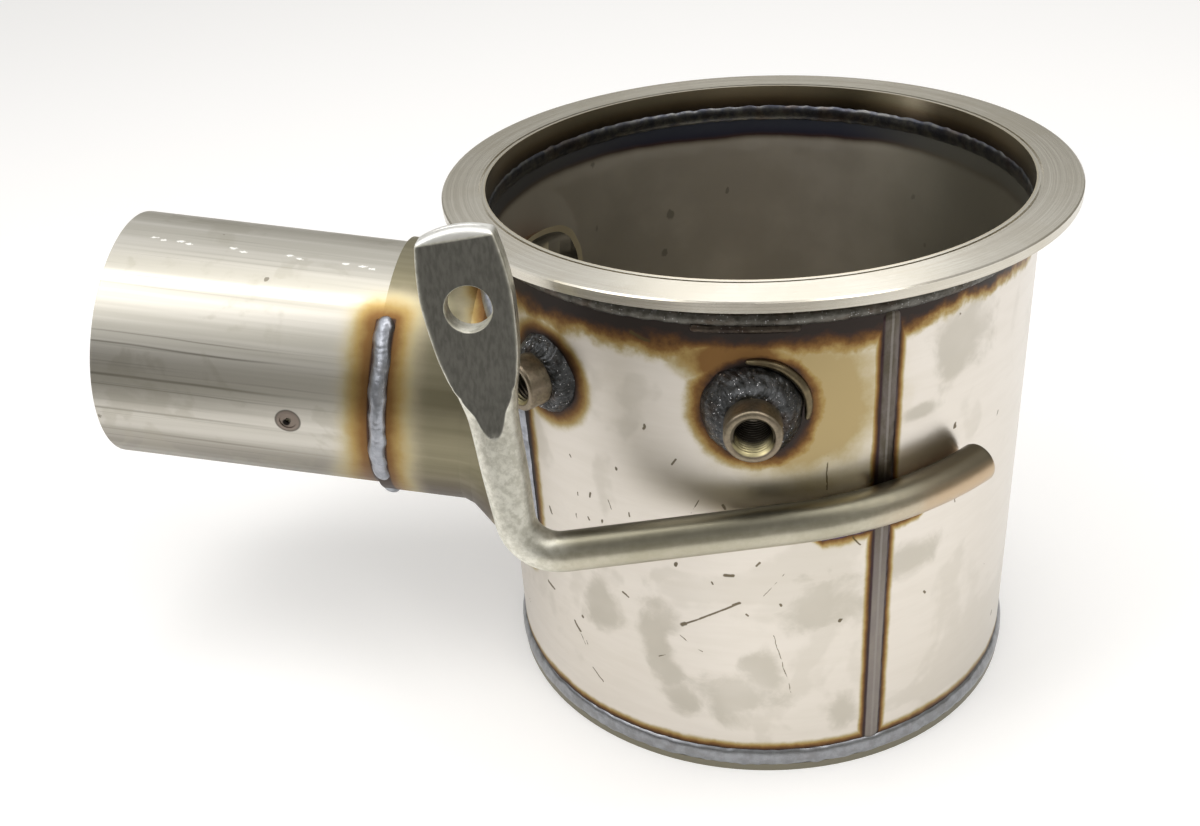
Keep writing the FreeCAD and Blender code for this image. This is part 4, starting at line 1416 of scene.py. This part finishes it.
bead_blue = weld_metal("bead_blue", (0.31, 0.325, 0.36), (0.44, 0.455, 0.50), 0.40, 0.12, 0.10, 0.25)
bead_dark = weld_metal("bead_dark", (0.07, 0.065, 0.055), (0.15, 0.145, 0.13), 0.38, 0.45, 0.3, 0.5)
# The tie-in under the flange is burnt metal, and is also painted near black as shade under the flange.
bead_burnt_and_shaded = weld_metal("bead_burnt_and_shaded", (0.045, 0.035, 0.030), (0.085, 0.07, 0.055), 0.40, 0.3, 0.3, 0.2)
bead_inner = weld_metal("bead_inner", (0.07, 0.074, 0.092), (0.15, 0.15, 0.145), 0.34, 0.2, 0.3, 0.1)
bead_mound = weld_metal("bead_mound", (0.045, 0.046, 0.046), (0.12, 0.124, 0.13), 0.30, 0.8, 0.3, 0.95)
bead_end = weld_metal("bead_end", (0.25, 0.255, 0.265), (0.33, 0.34, 0.365), 0.30, 0.12, 0.12, 0.1)
bead_lip = weld_metal("bead_lip", (0.125, 0.10, 0.062), (0.215, 0.175, 0.105), 0.36, 0.15, 0.3, 0.0)

# %% Finish of the long seam
seam_finish, tree, place = begin("seam_metal")
on = use_group(tree, drum_place)
mottle = noise_at(stretched(place, (300.0, 300.0, 110.0)), 1.0, 4.0, 0.6)
from_middle = abs(on["Along"] - SEAM_ALONG)
seam_colour = mixed(between(on["Height"], 125 * MM, 60 * MM), (0.10, 0.087, 0.066), (0.24, 0.215, 0.19))
seam_colour = painted(seam_colour, (between(mottle, 0.35, 0.7, 0.0, 0.55), (0.19, 0.165, 0.16)),
                      (between(from_middle, 0.6 * MM, 0.25 * MM, 0.0, 0.45), (0.30, 0.28, 0.26)),
                      (between(from_middle, 2.2 * MM, 2.9 * MM), (0.055, 0.036, 0.038)))
seam_steel = metal(seam_finish, seam_colour, 0.34, bumped(mottle, 0.2, 0.3 * MM))

# %% [markdown]
# ## Bosses and hanger
# The bosses took all the heat of their welds and are brown. Their bores carry painted light and
# shade: painted shade deep inside and in the upper part, and a yellow glint painted in the lower
# lip of the thread. The hanger's bar is satin and slightly olive; its upper side has painted shade,
# its bend and upright are worn and painted lighter as a sheen, and the eye's top has a painted
# highlight. The two flats of its eye come from grinding; their dark colour is painted shade, and
# every rounded edge beside them catches the light.

# %% Finish of the bosses
boss_finish, tree, place = begin("boss_steel")
place_height = use_group(tree, drum_place)["Height"]
turning = noise_at(stretched(place, (900.0, 900.0, 900.0)), 1.0, 3.0)
boss_colour = mixed(between(turning, 0.3, 0.7), (0.19, 0.16, 0.115), (0.27, 0.23, 0.165))
nose = between(noise_at(place, 130.0, 3.0), 0.4, 0.65, 0.0, 0.5)
boss_colour = mixed(nose, boss_colour, (0.31, 0.25, 0.19))
for centre in (boss_frame(FRONT_BOSS), boss_frame(SIDE_BOSS)):
    moved = vector_calc("SUBTRACT", place, centre.translation)
    out_axis = centre.to_3x3() @ UP
    out_from = dot(moved, out_axis)
    beside = vector_calc("LENGTH", vector_calc("CROSS_PRODUCT", moved, out_axis))
    in_bore = between(beside, BORE_R + 1.1 * MM, BORE_R + 0.8 * MM)
    in_bore = in_bore * calc("GREATER_THAN", out_from, 0.0)
    below = place_height - centre.translation.z
    # Painted light and shade in the bore: painted shade deep inside and in its upper part, and a painted
    # yellow glint in its lower lip near the tip.
    bore_glint_and_shade = mixed(between(out_from, 113 * MM, 119.5 * MM), (0.045, 0.038, 0.028), (0.50, 0.44, 0.25))
    bore_glint_and_shade = mixed(between(below, -4.0 * MM, -1.5 * MM), bore_glint_and_shade, (0.10, 0.085, 0.06))
    boss_colour = mixed(in_bore, boss_colour, bore_glint_and_shade)
boss_steel = metal(boss_finish, boss_colour, 0.40, bumped(turning, 0.12, 0.1 * MM))

# %% Masks on the hanger
bar, tree, place = begin("hanger_steel")
hanger_turn = hanger_frame.to_3x3()
moved = vector_calc("SUBTRACT", place, hanger_frame @ corner_of_bar)
up_bar = dot(moved, (hanger_turn @ rise_dir).normalized()) * 1000.0
through_bar = abs(dot(moved, hole_axis)) * 1000.0
half_flat = between(up_bar, FLAT_START, FLAT_END, ROUND_HALF, HALF_EYE / MM, kind="LINEAR")
on_flat = (between(half_flat - through_bar, 0.32, 0.05) * between(up_bar, 42.5, 46.0)
           * between(up_bar, 112.6, 111.8))
along_rod = dot(place, (1.0, 0.0, 0.0))
# The bend and the upright: worn metal, and also painted lighter as a sheen from the left light.
worn_and_sheen_part = between(along_rod, -58 * MM, -82 * MM)
above_axis = dot(vector_calc("SUBTRACT", place, hanger_frame.translation), hanger_turn @ UP)

# %% Finish of the hanger
mottle = noise_at(place, 420.0, 4.0, 0.65)
broad = noise_at(place, 30.0, 3.0)
ground_grain = noise_at(stretched(place, (900.0, 900.0, 260.0)), 1.0, 3.0)
copper = between(along_rod, 34 * MM, 58 * MM) * between(broad, 0.3, 0.6, 0.4, 1.0)
rubbed_and_sheen = mixed(between(mottle, 0.35, 0.65), (0.64, 0.625, 0.54), (0.86, 0.845, 0.76))
# The eye's two flats are painted dark as shade, with a fine grain of their own.
flat_shade = mixed(between(ground_grain, 0.3, 0.7), (0.15, 0.148, 0.132), (0.205, 0.20, 0.18))
bar_colour = mixed(between(mottle, 0.3, 0.7), (0.47, 0.44, 0.345), (0.54, 0.51, 0.415))
bar_colour = painted(
    bar_colour, (between(broad, 0.40, 0.68, 0.0, 0.55), (0.35, 0.325, 0.235)),
    (copper * 0.75, (0.56, 0.40, 0.255)),
    # The bar's upper side is painted darker as shade.
    (between(above_axis, 1.8 * MM, 5.0 * MM) * 0.85, (0.12, 0.112, 0.08)),
    # The top of the eye is painted near white as a highlight.
    (worn_and_sheen_part, rubbed_and_sheen), (between(up_bar, 112.2, EYE_TOP / MM), (0.88, 0.875, 0.85)), (on_flat, flat_shade))
bar_rough = between(mottle, 0.3, 0.7, 0.32, 0.38) + on_flat * 0.06 + worn_and_sheen_part * 0.12
bar_normal = bumped(mottle * (worn_and_sheen_part * 0.8 + 0.2), 0.14, 0.4 * MM)
hanger_steel = metal(bar, bar_colour, bar_rough, bar_normal)

# %% [markdown]
# ## Putting the finishes on
# CAD nodes keep their shape and get a finish in their material slots. New pieces get theirs
# the same way.

# %% Dress every piece
for piece, material in [
        (nodes["can_shell"], drum_steel), (nodes["inlet_pipe"], pipe_steel),
        (nodes["inlet_collar"], collar_steel), (nodes["outlet_flange"], flange_steel),
        (nodes["end_plate"], plate_steel), (flange_outer, bead_dark), (tie_in, bead_burnt_and_shaded),
        (flange_inner, bead_inner), (end_bead, bead_end), (seam, seam_steel), (collar_bead, bead_blue),
        (front_stitch, bead_blue), (lower_stitch, bead_blue), (rear_stitch, bead_blue),
        (front_boss, boss_steel), (side_boss, boss_steel), (front_mound, bead_mound),
        (side_mound, bead_mound), (front_lip, bead_lip), (hanger, hanger_steel), (hanger_bead, bead_dark)]:
    piece.data.materials.clear()
    piece.data.materials.append(material)

# %% Measure the bounds and finish
low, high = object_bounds()
